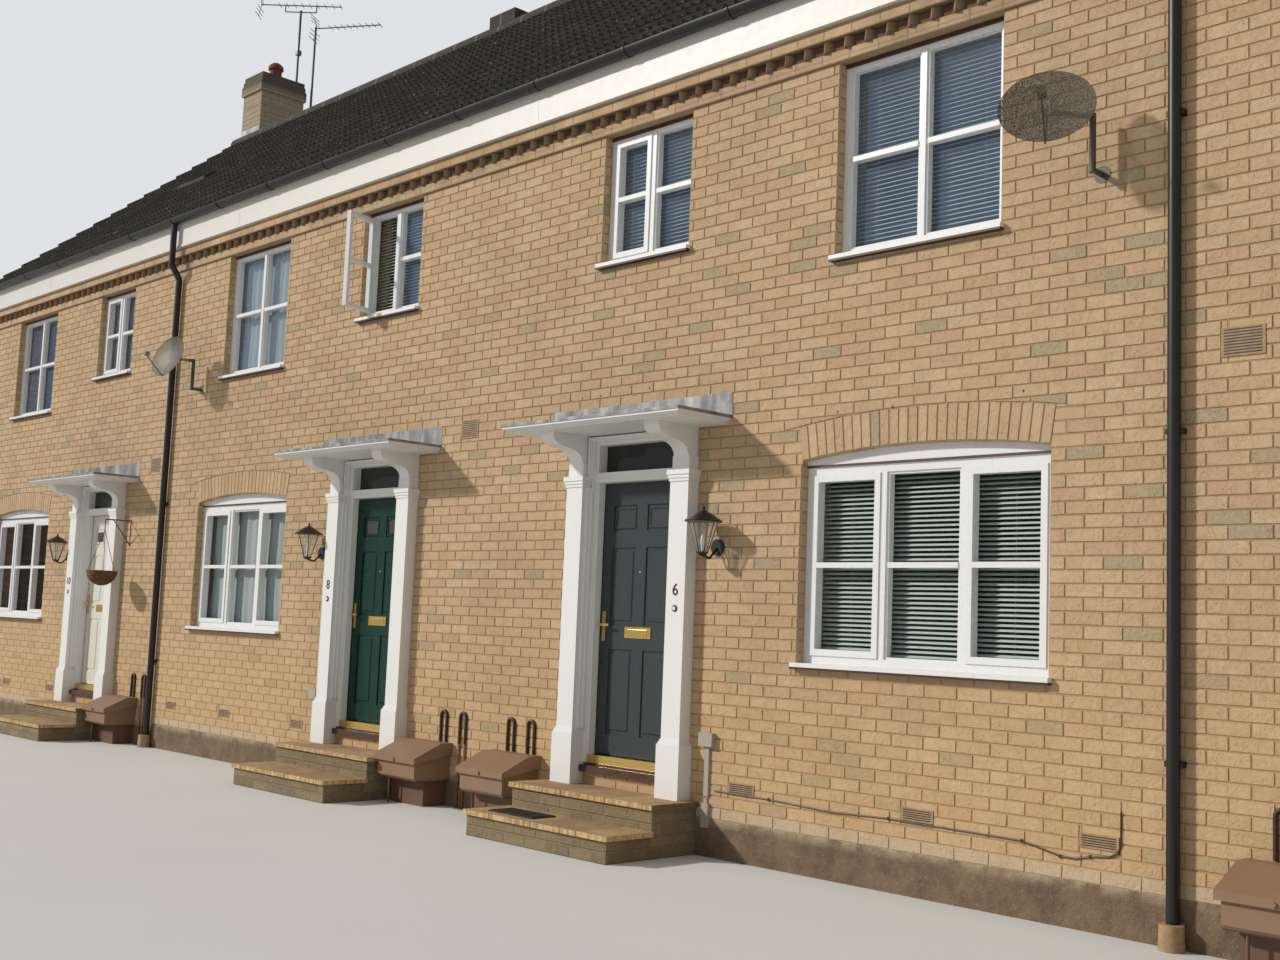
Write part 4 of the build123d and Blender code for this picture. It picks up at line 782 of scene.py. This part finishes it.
def plasticMaterial(name, colour, roughness, fade):
    g = Graph(name)
    faded = tuple(min(1, part * 1.5 + 0.02) for part in colour)
    tinted = g.mix(g.noise(2.5, 4).between(0.45, 0.8) * fade, colour, faded)
    tinted = g.mix(g.noise(50, 5, rough=0.7).between(0.62, 0.85) * fade, tinted, tone(110, 100, 84))
    return g.finish(tinted, g.noise(20, 3) * 0.16 + (roughness - 0.08), g.bump(g.noise(400, 2), 0.0003, 0.5))


def sillMaterial():  # white above, with painted shade in dark brown along the lower edge
    g = Graph("window sills")
    z = g.axes()[2]
    ground, upper, narrow = [(z - windows[key]).size() for key in ("groundLow", "upperLow", "narrowLow")]
    low = ground.least(upper).least(narrow).below(0.0135)
    white = g.mix(g.noise(30, 4).between(0.55, 0.8) * 0.2, tone(226, 226, 224), tone(150, 140, 120))
    # painted shade along the lower edge of each sill, in dark brown
    brown = g.mix(g.noise(12, 3), tone(72, 42, 32), tone(50, 30, 24))
    return g.finish(g.mix(low, white, brown), 0.4, g.bump(g.noise(300, 2), 0.0003, 0.5))


def metalMaterial(name, colour, roughness, metallic=1.0, wear=0.3, grain=0.0004):
    g = Graph(name)
    tinted = g.mix(g.noise(35, 5).between(0.45, 0.8) * wear, colour, darker(colour, 0.45))
    normal = g.bump(g.noise(300, 3), grain, 0.4)
    return g.finish(tinted, g.noise(60, 3) * 0.2 + (roughness - 0.1), normal, Metallic=metallic)


def glassMaterial(name, colour, alpha, roughness=0.03):
    g = Graph(name)
    tinted = g.mix(g.noise(1.1, 3).between(0.35, 0.65), colour, darker(colour, 1.35))
    return g.finish(tinted, g.noise(0.9, 2) * 0.03 + roughness, None, Alpha=alpha, IOR=1.5)


def stoneMaterial(name, colour, dark, scale, depth):
    g = Graph(name)
    tinted = g.mix(g.noise(5 * scale, 5, rough=0.65).between(0.35, 0.7), colour, dark)
    tinted = g.mix(g.noise(60 * scale, 4).between(0.55, 0.8) * 0.5, tinted, darker(dark, 0.6))
    height = g.noise(9 * scale, 5, rough=0.65) + g.noise(90 * scale, 4) * 0.25
    return g.finish(tinted, 0.85, g.bump(height, depth, 0.8))


def plasterMaterial():
    g = Graph("plaster")
    colour = g.mix(g.noise(2, 3), tone(214, 210, 200), tone(198, 193, 182))
    return g.finish(colour, 0.9, g.bump(g.noise(120, 3), 0.0008, 0.5))


def timberMaterial(name, light, dark):
    g = Graph(name)
    grain = g.noise(18, 5, g.stretched(0.6, 6, 6), 0.6)
    colour = g.mix(grain.between(0.35, 0.7), light, dark)
    return g.finish(colour, 0.45, g.bump(grain, 0.001, 0.6))


def leadMaterial():
    g = Graph("sheet lead")
    streak = g.noise(3, 4, g.stretched(3, 1, 0.8), 0.6)
    tones = [(0.36, tone(104, 104, 106)), (0.52, tone(136, 136, 137)), (0.68, tone(178, 176, 170))]
    colour = g.ramp(streak, tones)
    return g.finish(colour, 0.5, g.bump(g.noise(14, 3), 0.006, 0.5), Metallic=0.25)


def stepBrickMaterial():  # weathered grey-brown bricks with worn pale joints
    g = Graph("step bricks")
    length, rise = brickwork["length"], brickwork["course"]
    x, y, z = g.axes()
    course = (z + 0.004) / rise
    side = g.normals()[0].size().above(0.5)
    along = (x * (1 - side) + y * side) / length + (course.floor() * 0.5).fraction()
    u, v = along.fraction(), course.fraction()
    edge = (u.least(1 - u) * length).least(v.least(1 - v) * rise) + (g.noise(40, 4) - 0.5) * 0.006
    face = edge.between(0.004, 0.008)
    colour = g.mix(g.chance(along.floor(), course.floor(), 6.3), tone(138, 120, 92), tone(112, 99, 78))
    colour = g.mix(g.noise(26, 5, rough=0.7).between(0.4, 0.7) * 0.5, colour, tone(156, 136, 104))
    colour = g.mix(face, g.mix(g.noise(60, 3), tone(172, 148, 108), tone(104, 88, 66)), colour)
    height = face + g.noise(34, 5, rough=0.7) * 0.8
    return g.finish(colour, 0.92, g.bump(height, 0.01, 1.0))


services = {
    "lidLevel": 0.19,
    "pipeFront": -3.5275,
    "pipeLevel": 0.505,
    "ductOffset": 0.81,  # beside the door
    "ductReach": 0.1254,
}


def serviceMaterial(size=services):  # brown housings, darker below the lid, dark pipes and a pale duct
    g = Graph("service plastic")
    x, y, z = g.axes()
    colour = g.mix(g.noise(3, 4), tone(148, 116, 90), tone(126, 98, 75))
    colour = g.mix((z - size["lidLevel"]).below(0.02), colour, tone(104, 74, 56))
    pipe = y.above(size["pipeFront"]) * z.above(size["pipeLevel"])
    colour = g.mix(pipe, colour, tone(58, 26, 22))
    wide, duct = row["houseWidth"], row["doorAxis"] + size["ductOffset"]
    across = ((x - row["left"]) / wide).fraction() * wide
    near = (across - duct).size().least((across - (wide - duct)).size())
    colour = g.mix(near.below(size["ductReach"]), colour, tone(164, 156, 142))
    colour = g.mix(g.noise(40, 5, rough=0.7).between(0.55, 0.8) * 0.35, colour, tone(112, 96, 78))
    return g.finish(colour, 0.55, g.bump(g.noise(180, 3), 0.0008, 0.6))


slabs = {
    "length": 0.45,
    "stagger": 0.37,
    "upperStep": 0.3,
}


def slabMaterial(size=slabs):  # riven stone flags with pitched front edges, one tint each, and joints
    g = Graph("riven buff slab")
    x, _, z = g.axes()
    upper = z.above(size["upperStep"])
    along = (x - row["left"]) / size["length"] + upper * size["stagger"]
    joint = along.fraction().least(1 - along.fraction()).below(0.011)
    colour = g.mix(g.chance(along.floor(), upper, 2.0), tone(182, 150, 106), tone(158, 128, 92))
    colour = g.mix(g.noise(5, 5, rough=0.65).between(0.4, 0.65) * 0.6, colour, tone(138, 110, 80))
    colour = g.mix(g.noise(26, 5, rough=0.7).between(0.55, 0.75) * 0.5, colour, tone(116, 94, 70))
    edge = g.normals()[2].size().below(0.6)
    pitched = g.noise(34, 4, g.stretched(1, 1, 0.2), 0.6)
    bright = g.mix(pitched.between(0.35, 0.65), tone(222, 192, 138), tone(160, 126, 84))
    colour = g.mix(joint * 0.85, g.mix(edge * 0.85, colour, bright), tone(96, 80, 60))
    riven = g.noise(6, 6, g.stretched(1, 1, 4), 0.6) + pitched * edge * 0.7 - joint * 0.4
    return g.finish(colour, 0.85, g.bump(riven + g.noise(70, 4) * 0.15, 0.02, 0.9))


dishes = {
    "bowlBack": -3.66,
    "holes": 190,
    "holeSize": 0.55,
}


def dishMaterial(size=dishes):  # the bowl is finely perforated, what is by the wall is solid
    g = Graph("perforated sheet")
    colour = g.mix(g.noise(3, 3).between(0.3, 0.7), tone(90, 85, 74), tone(70, 65, 56))
    dots = g.cells(size["holes"]).below(size["holeSize"]) * g.axes()[1].below(size["bowlBack"])
    return g.finish(colour, 0.5, g.bump(dots, 0.001, 0.5), Metallic=0.2, Alpha=1 - dots * 0.7)


paints = {
    "cream": tone(214, 211, 200),
    "green": tone(13, 53, 44),
    "slate": tone(62, 67, 69),
    "navy": tone(32, 44, 74),
}

finishes = {
    "brick": brickMaterial("brickwork"),
    "cornice": brickMaterial("cornice brickwork", cornice=True),
    "stepBrick": stepBrickMaterial(),
    "chimney": brickMaterial("chimney brickwork", tint=(0.5, tone(132, 130, 124)), capFrom=9.62),
    "plaster": plasterMaterial(),
    "roof": tileMaterial("tile edges", laidTiles=False),
    "ridge": ridgeMaterial(),
    "fascia": paintMaterial("fascia paint", tone(214, 212, 205), 0.45, 0.1),
    "paint": paintMaterial("white paint", tone(227, 228, 225), 0.38, 0.06),
    "window": plasticMaterial("white window plastic", tone(226, 227, 227), 0.28, 0.06),
    "sill": sillMaterial(),
    "gutter": plasticMaterial("black gutter plastic", tone(22, 23, 24), 0.4, 0.12),
    "clay": stoneMaterial("buff clay", tone(176, 148, 112), tone(146, 116, 84), 4, 0.002),
    "pot": stoneMaterial("red clay", tone(142, 74, 50), tone(84, 46, 36), 3, 0.004),
    "groundGlass": glassMaterial("ground window glass", tone(22, 34, 36), 0.1),
    "upperGlass": glassMaterial("upper window glass", tone(112, 132, 160), 0.18),
    "toplight": glassMaterial("toplight glass", tone(36, 38, 36), 0.8),
    "obscure": glassMaterial("obscure glass", tone(52, 56, 56), 1.0, 0.25),
    "clear": glassMaterial("lantern glass", tone(190, 190, 180), 0.22),
    "brass": metalMaterial("brass", tone(214, 182, 110), 0.26, 1.0, 0.15, 0.00005),
    "steel": metalMaterial("zinc plated steel", tone(150, 150, 150), 0.45),
    "aluminium": metalMaterial("aerial tube", tone(104, 106, 110), 0.45),
    "lead": leadMaterial(),
    "stepStone": slabMaterial(),
    # also the finish of the painted shade strips over the window frames
    "darkTimberAndShade": timberMaterial("dark stained timber and painted shade", tone(84, 52, 42), tone(44, 26, 22)),
    "floorTimber": timberMaterial("floor boards", tone(158, 116, 76), tone(118, 82, 50)),
    "blackMetal": metalMaterial("black cast metal", tone(26, 26, 28), 0.4, 0.2, 0.1),
    "service": serviceMaterial(),
    "dish": dishMaterial(),
    "slat": plasticMaterial("blind slats", tone(222, 236, 230), 0.4, 0.03),
    "cloth": plasticMaterial("light curtain cloth", tone(176, 190, 190), 0.85, 0.05),
    "coir": stoneMaterial("coir", tone(120, 84, 50), tone(62, 42, 26), 6, 0.006),
    "number": metalMaterial("bronzed metal", tone(60, 42, 32), 0.4, 0.6, 0.2),
    # the dark finish also serves as painted shade in the air brick slots
    "cable": plasticMaterial("cable sheath and painted shade", tone(52, 42, 36), 0.5, 0.2),
    "mat": stoneMaterial("rubber mat", tone(64, 62, 60), tone(40, 40, 40), 8, 0.004),
}
for key, colour in paints.items():
    finishes["door_" + key] = paintMaterial("door paint " + key, colour, 0.28, 0.05, 0.0002, 0.2)

finishNodes = {
    "cornice": ["street_cornice"],
    "chimney": ["chimney_stack"],
    "plaster": ["party_walls", "first_floor", "upper_ceiling"],
    "floorTimber": ["ground_floor"],
    "roof": ["street_roof_slope", "rear_roof_slope"],
    "ridge": ["ridge_tiles"],
    "fascia": ["fascias"],
    "gutter": ["gutters", "street_downpipes", "rear_downpipes"],
    "clay": ["clay_sockets", "air_bricks"],
    "pot": ["chimney_pot"],
    "window": ["ground_window_frames", "upper_window_frames", "narrow_window_frames", "open_casement"],
    "sill": ["window_sills"],
    "groundGlass": ["ground_glass"],
    "upperGlass": ["upper_glass"],
    "toplight": ["toplights"],
    "brass": ["door_hinges", "brass_thresholds"],
    "paint": ["door_frames", "pilasters", "consoles", "canopies"],
    "darkTimberAndShade": ["door_sills"],
    "lead": ["lead_flashings"],
    "stepBrick": ["step_brickwork"],
    "stepStone": ["step_slabs"],
    "blackMetal": ["lanterns"],
    "service": ["meter_boxes"],
    "dish": ["satellite_dishes"],
    "aluminium": ["television_aerials"],
    "cloth": ["window_dressings"],
    "coir": ["hanging_basket"],
}
nodeFinish = {node: finish for finish, group in finishNodes.items() for node in group}
for house in houses:
    nodeFinish["door_leaf_" + house["number"]] = "door_" + house["paint"]
    nodeFinish["door_furniture_" + house["number"]] = "brass"

for name, node in nodes.items():
    material = finishes[nodeFinish.get(name, "brick")]  # walls and rear cornice are brick
    if not node.data.materials:
        node.data.materials.append(material)
    for place in range(len(node.data.materials)):
        node.data.materials[place] = material
print("finishes given to", len(nodes), "nodes")


# Blinds and curtains

dressings = {
    "slatPitch": 0.0295,
    "slatWidth": 0.027,
    "slatThickness": 0.0012,
    "slatTilt": 33,
    "railHeight": 0.03,
    "railDepth": 0.024,
    "footDepth": 0.018,
    "footHeight": 0.012,
    "cords": [0.17, 0.83],
    "cordFront": 0.0118,
    "cordRadius": 0.0006,
    "y": -3.3355,
    "ground": (0.888, 1.345, 2.548),
    "upper": (0.605, 3.945, 5.195),
    "narrow": (0.455, 4.235, 5.195),
    "folds": 11,
    "foldDepth": 0.009,
    "tieLevel": 0.36,
    "tieSpread": 0.2,
    "tie": 0.1,
    "groundCut": (1.83, 1.205),
    "upperCut": (1.285, 1.25),
    "curtainY": -3.3235,
}


def slattedBlind(bm, middle, half, low, high, size=dressings):
    y, top = size["y"], high - size["railHeight"]
    tilt = math.radians(size["slatTilt"])
    for depth, z0, z1 in ((size["railDepth"], top, high), (size["footDepth"], low - size["footHeight"], low)):
        box(bm, middle - half, middle + half, y - depth / 2, y + depth / 2, z0, z1)
    z = top - size["slatPitch"] / 2
    while z > low + size["slatPitch"] / 2:
        place = Matrix.Translation((middle, y, z)) @ Matrix.Rotation(tilt, 4, "X")
        scale = Matrix.Diagonal((2 * half, size["slatWidth"], size["slatThickness"], 1))
        bmesh.ops.create_cube(bm, size=1, matrix=place @ scale)
        z -= size["slatPitch"]
    for share in size["cords"]:
        x = middle + half * (2 * share - 1)
        front = y - size["cordFront"]
        tube(bm, [(x, front, low), (x, front, top)], size["cordRadius"], 5)


def curtain(name, middle, half, low, high, cut, size=dressings):
    bm = bmesh.new()
    made = bmesh.ops.create_grid(bm, x_segments=size["folds"] * 8, y_segments=10, size=0.5)
    for vert in made["verts"]:
        across, up = vert.co.x + 0.5, vert.co.y + 0.5
        pull = math.exp(-((up - size["tieLevel"]) / size["tieSpread"]) ** 2)
        x = middle + half * (2 * across - 1) * (1 - pull * size["tie"])
        fold = math.sin(across * size["folds"] * 2 * math.pi + 0.6 * math.sin(3 * up)) * size["foldDepth"]
        vert.co = (x, size["curtainY"] + fold * (0.6 + 0.4 * up), low + up * (high - low))
    bmesh.ops.reverse_faces(bm, faces=[face for face in bm.faces if face.normal.y > 0])
    cloth = newObject(name, bm, finishes["cloth"], smooth=True)


def dressWindows(size=dressings):
    slate, green = houses[2], houses[1]
    bm = bmesh.new()
    for key, middle in zip(("ground", "upper", "narrow"), placesOf(slate)):
        slattedBlind(bm, middle, *size[key])
    slattedBlind(bm, placesOf(green)[2], *size["narrow"])
    newObject("venetian_blinds", bm, finishes["slat"], replaced=("window_dressings",))
    for key, middle in zip(("ground", "upper"), placesOf(green)):
        curtain(key + "_curtain", middle, *size[key], size[key + "Cut"])


dressWindows()
print("windows dressed")


# Door lights, spyholes, letter flaps, numbers and bell pushes

doorDetails = {
    "paneRow": (1.625, 0.186),
    "panelMargin": 0.105,
    "frameMargin": 0.008,
    "recess": 0.009,
    "clear": 0.0003,
    "beads": [(0.011, 0.008), (0.012, 0), (0.006, -0.0065)],  # width and depth of each step inward
    "spyLevel": 1.322,
    "spyRadius": 0.009,
    "spyProud": 0.003,
    "numberHeight": 0.11475,
    "numberDepth": 0.003,
    "numberGap": 0.0001,
    "numberLevel": 1.755,
    "pushLevel": 1.63,
    "push": [(0.024, 0.006), (0.01488, 0.01)],  # radius and reach of the plate and the button
    "pilaster": 0.5425,
    "pilasterFront": -3.605,
    "letterLevel": 0.885,
    "flap": (0.196, 0.046, 0.0028),
    "plateFront": 0.006,
    "boltReach": 0.117,
    "boltRadius": 0.0075,
}


def doorLights(house, size=doorDetails):
    start, height = size["paneRow"]
    margin = size["panelMargin"]
    width = (row["leafWidth"] - 3 * margin) / 2
    leafLeft = house["door"] + row["leafStart"]
    low = row["leafBottom"] + start
    bm = bmesh.new()
    faces = ((row["leafFront"] + size["recess"], -1), (row["leafBack"] - size["recess"], 1))
    for face, outward in faces:
        for left in (leafLeft + margin, leafLeft + 2 * margin + width):
            inset = size["frameMargin"]
            panel = rectangle(bm, left + inset, left + width - inset, low + inset, low + height - inset,
                              face + outward * size["clear"], outward)
            for wide, deep in size["beads"]:
                bmesh.ops.inset_individual(bm, faces=[panel], thickness=wide, depth=deep,
                                           use_even_offset=True)
            panel.material_index = 1
    paint = finishes["door_" + house["paint"]]
    newObject("door_lights_" + house["number"], bm, [paint, finishes["obscure"]], house["body"])


def letterFlap(house, size=doorDetails):
    wide, tall, proud = size["flap"]
    x, z = house["leafMiddle"], row["leafBottom"] + size["letterLevel"]
    y = row["leafFront"] - size["plateFront"]
    bm = bmesh.new()
    box(bm, x - wide / 2, x + wide / 2, y - proud, y + 0.001, z - tall / 2, z + tall / 2)
    bmesh.ops.bevel(bm, geom=list(bm.edges), offset=proud * 0.45, segments=2, profile=0.5, material=-1,
                    affect="EDGES")
    for hand in (-1, 1):
        place = (x + hand * size["boltReach"], y - proud / 2, z)
        stud(bm, place, size["boltRadius"], size["boltRadius"] * 0.8, proud, 18)
    newObject("letter_flap_" + house["number"], bm, finishes["brass"], house["body"])


def doorSpyhole(house, size=doorDetails):
    bm = bmesh.new()
    middle = (row["leafFront"] + row["leafBack"]) / 2
    depth = row["leafBack"] - row["leafFront"] + 2 * size["spyProud"]
    place = (house["leafMiddle"], middle, row["leafBottom"] + size["spyLevel"])
    stud(bm, place, size["spyRadius"], size["spyRadius"], depth, 20)
    newObject("spyhole_" + house["number"], bm, finishes["steel"], house["body"])


def houseNumber(house, size=doorDetails):
    x = house["door"] + house["hand"] * size["pilaster"]
    letters = bpy.data.curves.new("digits", "FONT")
    letters.body = house["number"]
    letters.size = size["numberHeight"]
    letters.extrude = size["numberDepth"] / 2
    letters.align_x = "CENTER"
    letters.align_y = "CENTER"
    shape = bpy.data.objects.new("digits", letters)
    mesh = bpy.data.meshes.new_from_object(shape)
    bpy.data.objects.remove(shape)
    bm = bmesh.new()
    bm.from_mesh(mesh)
    front = size["pilasterFront"]
    y = front - size["numberGap"] - size["numberDepth"] / 2
    place = Matrix.Translation((x, y, size["numberLevel"]))
    bmesh.ops.transform(bm, matrix=place @ Matrix.Rotation(math.radians(90), 4, "X"), verts=bm.verts)
    newObject("house_number_" + house["number"], bm, finishes["number"])
    bm = bmesh.new()
    for part, (radius, reach) in enumerate(size["push"]):
        verts = stud(bm, (x, front - reach / 2, size["pushLevel"]), radius, radius * 0.92, reach, 28)
        for face in {face for vert in verts for face in vert.link_faces}:
            face.material_index = part
    newObject("bell_push_" + house["number"], bm, [finishes["number"], finishes["window"]])


for house in houses:
    doorLights(house)
    doorSpyhole(house)
    letterFlap(house)
    houseNumber(house)
print("doors fitted out")


# Lantern glass and candle lamps

lamps = {
    "offset": 0.836,
    "reach": -3.66,
    "low": 1.995,
    "high": 2.212,
    "lowRadius": 0.034,
    "highRadius": 0.111,
    "candles": [(0.017, 2.085), (0.012, 2.04)],
    "candleStretch": 2.6,
}


def lanternGlass(size=lamps):
    glass, bulbs = bmesh.new(), bmesh.new()
    low, high, y = size["low"], size["high"], size["reach"]
    longer = Matrix.Diagonal((1, 1, size["candleStretch"], 1))
    for house in houses:
        x = house["door"] + house["hand"] * size["offset"]
        bmesh.ops.create_cone(glass, cap_ends=False, segments=6, radius1=size["lowRadius"],
                              radius2=size["highRadius"], depth=high - low,
                              matrix=Matrix.Translation((x, y, (low + high) / 2)))
        for radius, z in size["candles"]:
            bmesh.ops.create_uvsphere(bulbs, u_segments=16, v_segments=10, radius=radius,
                                      matrix=Matrix.Translation((x, y, z)) @ longer)
    newObject("lantern_glass", glass, finishes["clear"])
    newObject("candle_lamps", bulbs, finishes["window"], smooth=True)


lanternGlass()
print("lanterns glazed")


# Wall cable, cable trunking, weep holes, painted shade strips over the window frames, gutter brackets, fascia
# joints, mat

trim = {
    "cable": [
        (2.53, 0.436), (3.0, 0.432), (3.5, 0.414), (3.93, 0.427), (4.36, 0.422), (4.82, 0.417), (4.95, 0.39),
        (5.053, 0.368), (5.14, 0.366), (5.227, 0.388), (5.33, 0.4), (5.385, 0.43), (5.4, 0.47), (5.4, 0.64),
    ],
    "cableRadius": 0.005,
    "cableGap": 0.0045,
    "clip": (0.006, 0.016, 0.009),  # half width, reach and half height
    "trunking": (0.042, 0.022, 0.372, 0.724),  # width, depth, foot and head
    "trunkingEdge": 0.0025,
    "weeps": [
        (1.038, 3.197), (1.239, 3.195), (1.759, 3.208), (3.47, 2.897), (3.893, 2.895), (4.793, 2.912),
    ],
    "weep": (0.005, 0.0068, 0.008),
    # painted shade strips at the frame heads: half width, foot and head
    "shadeStrips": [(0.885, 2.556, 2.572), (0.602, 5.172, 5.199), (0.452, 5.172, 5.199)],
    "shadeStripDepth": (-3.447, -3.43),
    "bracketStart": 0.5,
    "bracketPitch": 1.036,
    "bracketWidth": 0.036,
    "bracketLevel": 5.75,
    "bracketRings": {-1: (3.651, 0.0615), 1: (3.6483, 0.0585)},
    "strap": 0.006,
    "fasciaJoints": [-9.2, -4.35, 0.45, 5.3, 10.1],
    "fasciaCover": (0.011, 3.5945, 3.5965, 5.467, 5.7),
    "mat": (1.08, 1.55, -4.25, -4.03),
    "matLevels": (0.178, 0.186, 0.191),
    "matBars": 26,
    "matBar": 0.008,
}


def wallCable(size=trim):
    bm = bmesh.new()
    front = row["front"]
    points = [(x, front - size["cableGap"] - size["cableRadius"], z) for x, z in size["cable"]]
    tube(bm, points, size["cableRadius"])
    wide, reach, tall = size["clip"]
    for x, _, z in points[1:-1:2]:
        box(bm, x - wide, x + wide, front - reach, front, z - tall, z + tall)
    newObject("wall_cable", bm, finishes["cable"])


def cableTrunking(size=trim):
    wide, deep, low, high = size["trunking"]
    bm = bmesh.new()
    for house in houses:
        x = house["door"] + house["hand"] * services["ductOffset"]
        verts = box(bm, x - wide / 2, x + wide / 2, row["front"] - deep, row["front"], low, high)
        for vert in verts:  # the lower end is cut on the slant
            if vert.co.z < low + 0.001 and vert.co.y < row["front"] - 0.001:
                vert.co.z += deep
    bmesh.ops.bevel(bm, geom=list(bm.edges), offset=size["trunkingEdge"], segments=2, profile=0.5,
                    material=-1, affect="EDGES")
    newObject("cable_trunking", bm, finishes["service"])


def weepHoles(size=trim):
    bm = bmesh.new()
    front, (wide, reach, tall) = row["front"], size["weep"]
    for house in houses:
        for offset, z in size["weeps"]:
            x = fromDoorSide(house, offset)
            box(bm, x - wide, x + wide, front - reach, front - 0.001, z - tall, z + tall)
    newObject("weep_holes", bm, finishes["cable"])


def frameShadeStrips(size=trim):
    # dark strips along the frame heads, painted shade under the arch boards and the cornice
    bm = bmesh.new()
    for house in houses:
        for middle, (half, low, high) in zip(placesOf(house), size["shadeStrips"]):
            box(bm, middle - half, middle + half, *size["shadeStripDepth"], low, high)
    newObject("frame_shade_strips", bm, finishes["darkTimberAndShade"])


def gutterBrackets(size=trim):
    bm = bmesh.new()
    scale = Matrix.Diagonal((size["bracketWidth"], size["strap"], 1, 1))
    for side in (-1, 1):
        reach, radius = size["bracketRings"][side]
        y, z = side * reach, size["bracketLevel"]
        x = row["left"] + size["bracketStart"]
        while x < row["right"]:
            place = Matrix.Translation((x, y - side * (radius - size["strap"] / 2), z))
            strap = bmesh.ops.create_grid(bm, x_segments=1, y_segments=1, size=0.5, matrix=place @ scale)
            geometry = {face for vert in strap["verts"] for face in vert.link_faces}
            geometry |= {edge for vert in strap["verts"] for edge in vert.link_edges}
            geometry |= set(strap["verts"])
            bmesh.ops.spin(bm, geom=list(geometry), cent=(x, y, z), axis=(side, 0, 0), angle=math.pi,
                           steps=14, use_merge=False)
            x += size["bracketPitch"]
    bmesh.ops.recalc_face_normals(bm, faces=bm.faces)
    newObject("gutter_brackets", bm, finishes["gutter"])


def fasciaJoints(size=trim):
    bm = bmesh.new()
    half, inner, outer, low, high = size["fasciaCover"]
    for x in size["fasciaJoints"]:
        for side in (-1, 1):
            box(bm, x - half, x + half, *sorted((side * inner, side * outer)), low, high)
    newObject("fascia_joints", bm, finishes["fascia"])


def doorMat(size=trim):
    x0, x1, y0, y1 = size["mat"]
    low, middle, high = size["matLevels"]
    half = size["matBar"] / 2
    bm = bmesh.new()
    box(bm, x0, x1, y0, y1, low, middle)
    for number in range(size["matBars"]):
        x = x0 + 0.02 + number * (x1 - x0 - 0.04) / (size["matBars"] - 1)
        box(bm, x - half, x + half, y0 + 0.015, y1 - 0.015, middle, high)
    newObject("door_mat", bm, finishes["mat"])


wallCable()
cableTrunking()
weepHoles()
frameShadeStrips()
gutterBrackets()
fasciaJoints()
doorMat()
print("small pieces made")


# Dark slot faces of the air bricks, painted shade in the hollows between the louvres

def airBrickLouvres(size=airBricks):
    bm = bmesh.new()
    half, front = size["width"] / 2 - size["frame"], row["front"] - size["slotFront"]
    for house in houses:
        for x, level, height in airBrickPlaces(house):
            rows = size["slots"][height > size["height"]]
            gap = (height - 2 * size["rim"]) / rows
            for number in range(rows):
                z = level - height / 2 + size["rim"] + number * gap
                slot = rectangle(bm, x - half, x + half, z + gap * 0.3, z + gap * 0.8, front, -1)
                # each slot face takes the dark finish as painted shade for the hollow behind
                slot.material_index = 1
    newObject("air_brick_slots", bm, [finishes["clay"], finishes["cable"]])


airBrickLouvres()
print("air bricks louvred")


# Floor, light and camera

studioLight = {
    "floor": 160,
    "air": (0.95, 0.97, 1.0),
    "sky": 0.4,
    "backdrop": 0.78,
    "sun": 2.95,
    "sunColour": (1.0, 0.965, 0.91),
    "sunAngle": 3,
    "travel": (1.05, 1.0, -0.79),
}


def studio(size=studioLight):
    bm = bmesh.new()
    bmesh.ops.create_grid(bm, x_segments=1, y_segments=1, size=size["floor"])
    mesh = bpy.data.meshes.new("floor")
    bm.to_mesh(mesh)
    bm.free()
    floor = bpy.data.objects.new("floor", mesh)
    scene.collection.objects.link(floor)
    g = Graph("pale floor")
    colour = g.mix(g.noise(0.6, 3), tone(214, 213, 210), tone(208, 207, 204))
    mesh.materials.append(g.finish(colour, 0.9, g.bump(g.noise(30, 3), 0.002, 0.3)))

    world = bpy.data.worlds.new("studio")
    scene.world = world
    world.use_nodes = True
    tree = world.node_tree
    tree.nodes.clear()
    out = tree.nodes.new("ShaderNodeOutputWorld")
    rays = tree.nodes.new("ShaderNodeLightPath")
    mixed = tree.nodes.new("ShaderNodeMixShader")
    for place, strength in enumerate((size["sky"], size["backdrop"])):
        back = tree.nodes.new("ShaderNodeBackground")
        back.inputs["Color"].default_value = (*size["air"], 1)
        back.inputs["Strength"].default_value = strength
        tree.links.new(back.outputs[0], mixed.inputs[1 + place])
    tree.links.new(rays.outputs["Is Camera Ray"], mixed.inputs[0])
    tree.links.new(mixed.outputs[0], out.inputs[0])

    sun = bpy.data.lights.new("key", "SUN")
    sun.energy = size["sun"]
    sun.angle = math.radians(size["sunAngle"])
    sun.color = size["sunColour"]
    lamp = bpy.data.objects.new("key", sun)
    scene.collection.objects.link(lamp)
    lamp.rotation_mode = "QUATERNION"
    lamp.rotation_quaternion = Vector(size["travel"]).to_track_quat("-Z", "Y")


viewpoint = {
    "place": (9.055, -10.609, 1.51),
    "yaw": 46.0,
    "pitch": 5.77,
    "roll": 2.29,
    "lens": 40.235,
    "sensor": 36,
    "far": 500,
}


def makeCamera(size=viewpoint):
    yaw, pitch, roll = (math.radians(size[key]) for key in ("yaw", "pitch", "roll"))
    ahead = Vector((-math.sin(yaw) * math.cos(pitch), math.cos(yaw) * math.cos(pitch), math.sin(pitch)))
    level = Vector((math.cos(yaw), math.sin(yaw), 0))
    upright = level.cross(ahead)
    right = level * math.cos(roll) + upright * math.sin(roll)
    up = upright * math.cos(roll) - level * math.sin(roll)
    data = bpy.data.cameras.new("camera")
    data.lens = size["lens"]
    data.sensor_width = size["sensor"]
    data.clip_end = size["far"]
    camera = bpy.data.objects.new("camera", data)
    scene.collection.objects.link(camera)
    turn = Matrix((right, up, -ahead)).transposed().to_4x4()
    camera.matrix_world = Matrix.Translation(size["place"]) @ turn
    scene.camera = camera


studio()
makeCamera()
scene.view_settings.view_transform = "Standard"
print("studio ready")
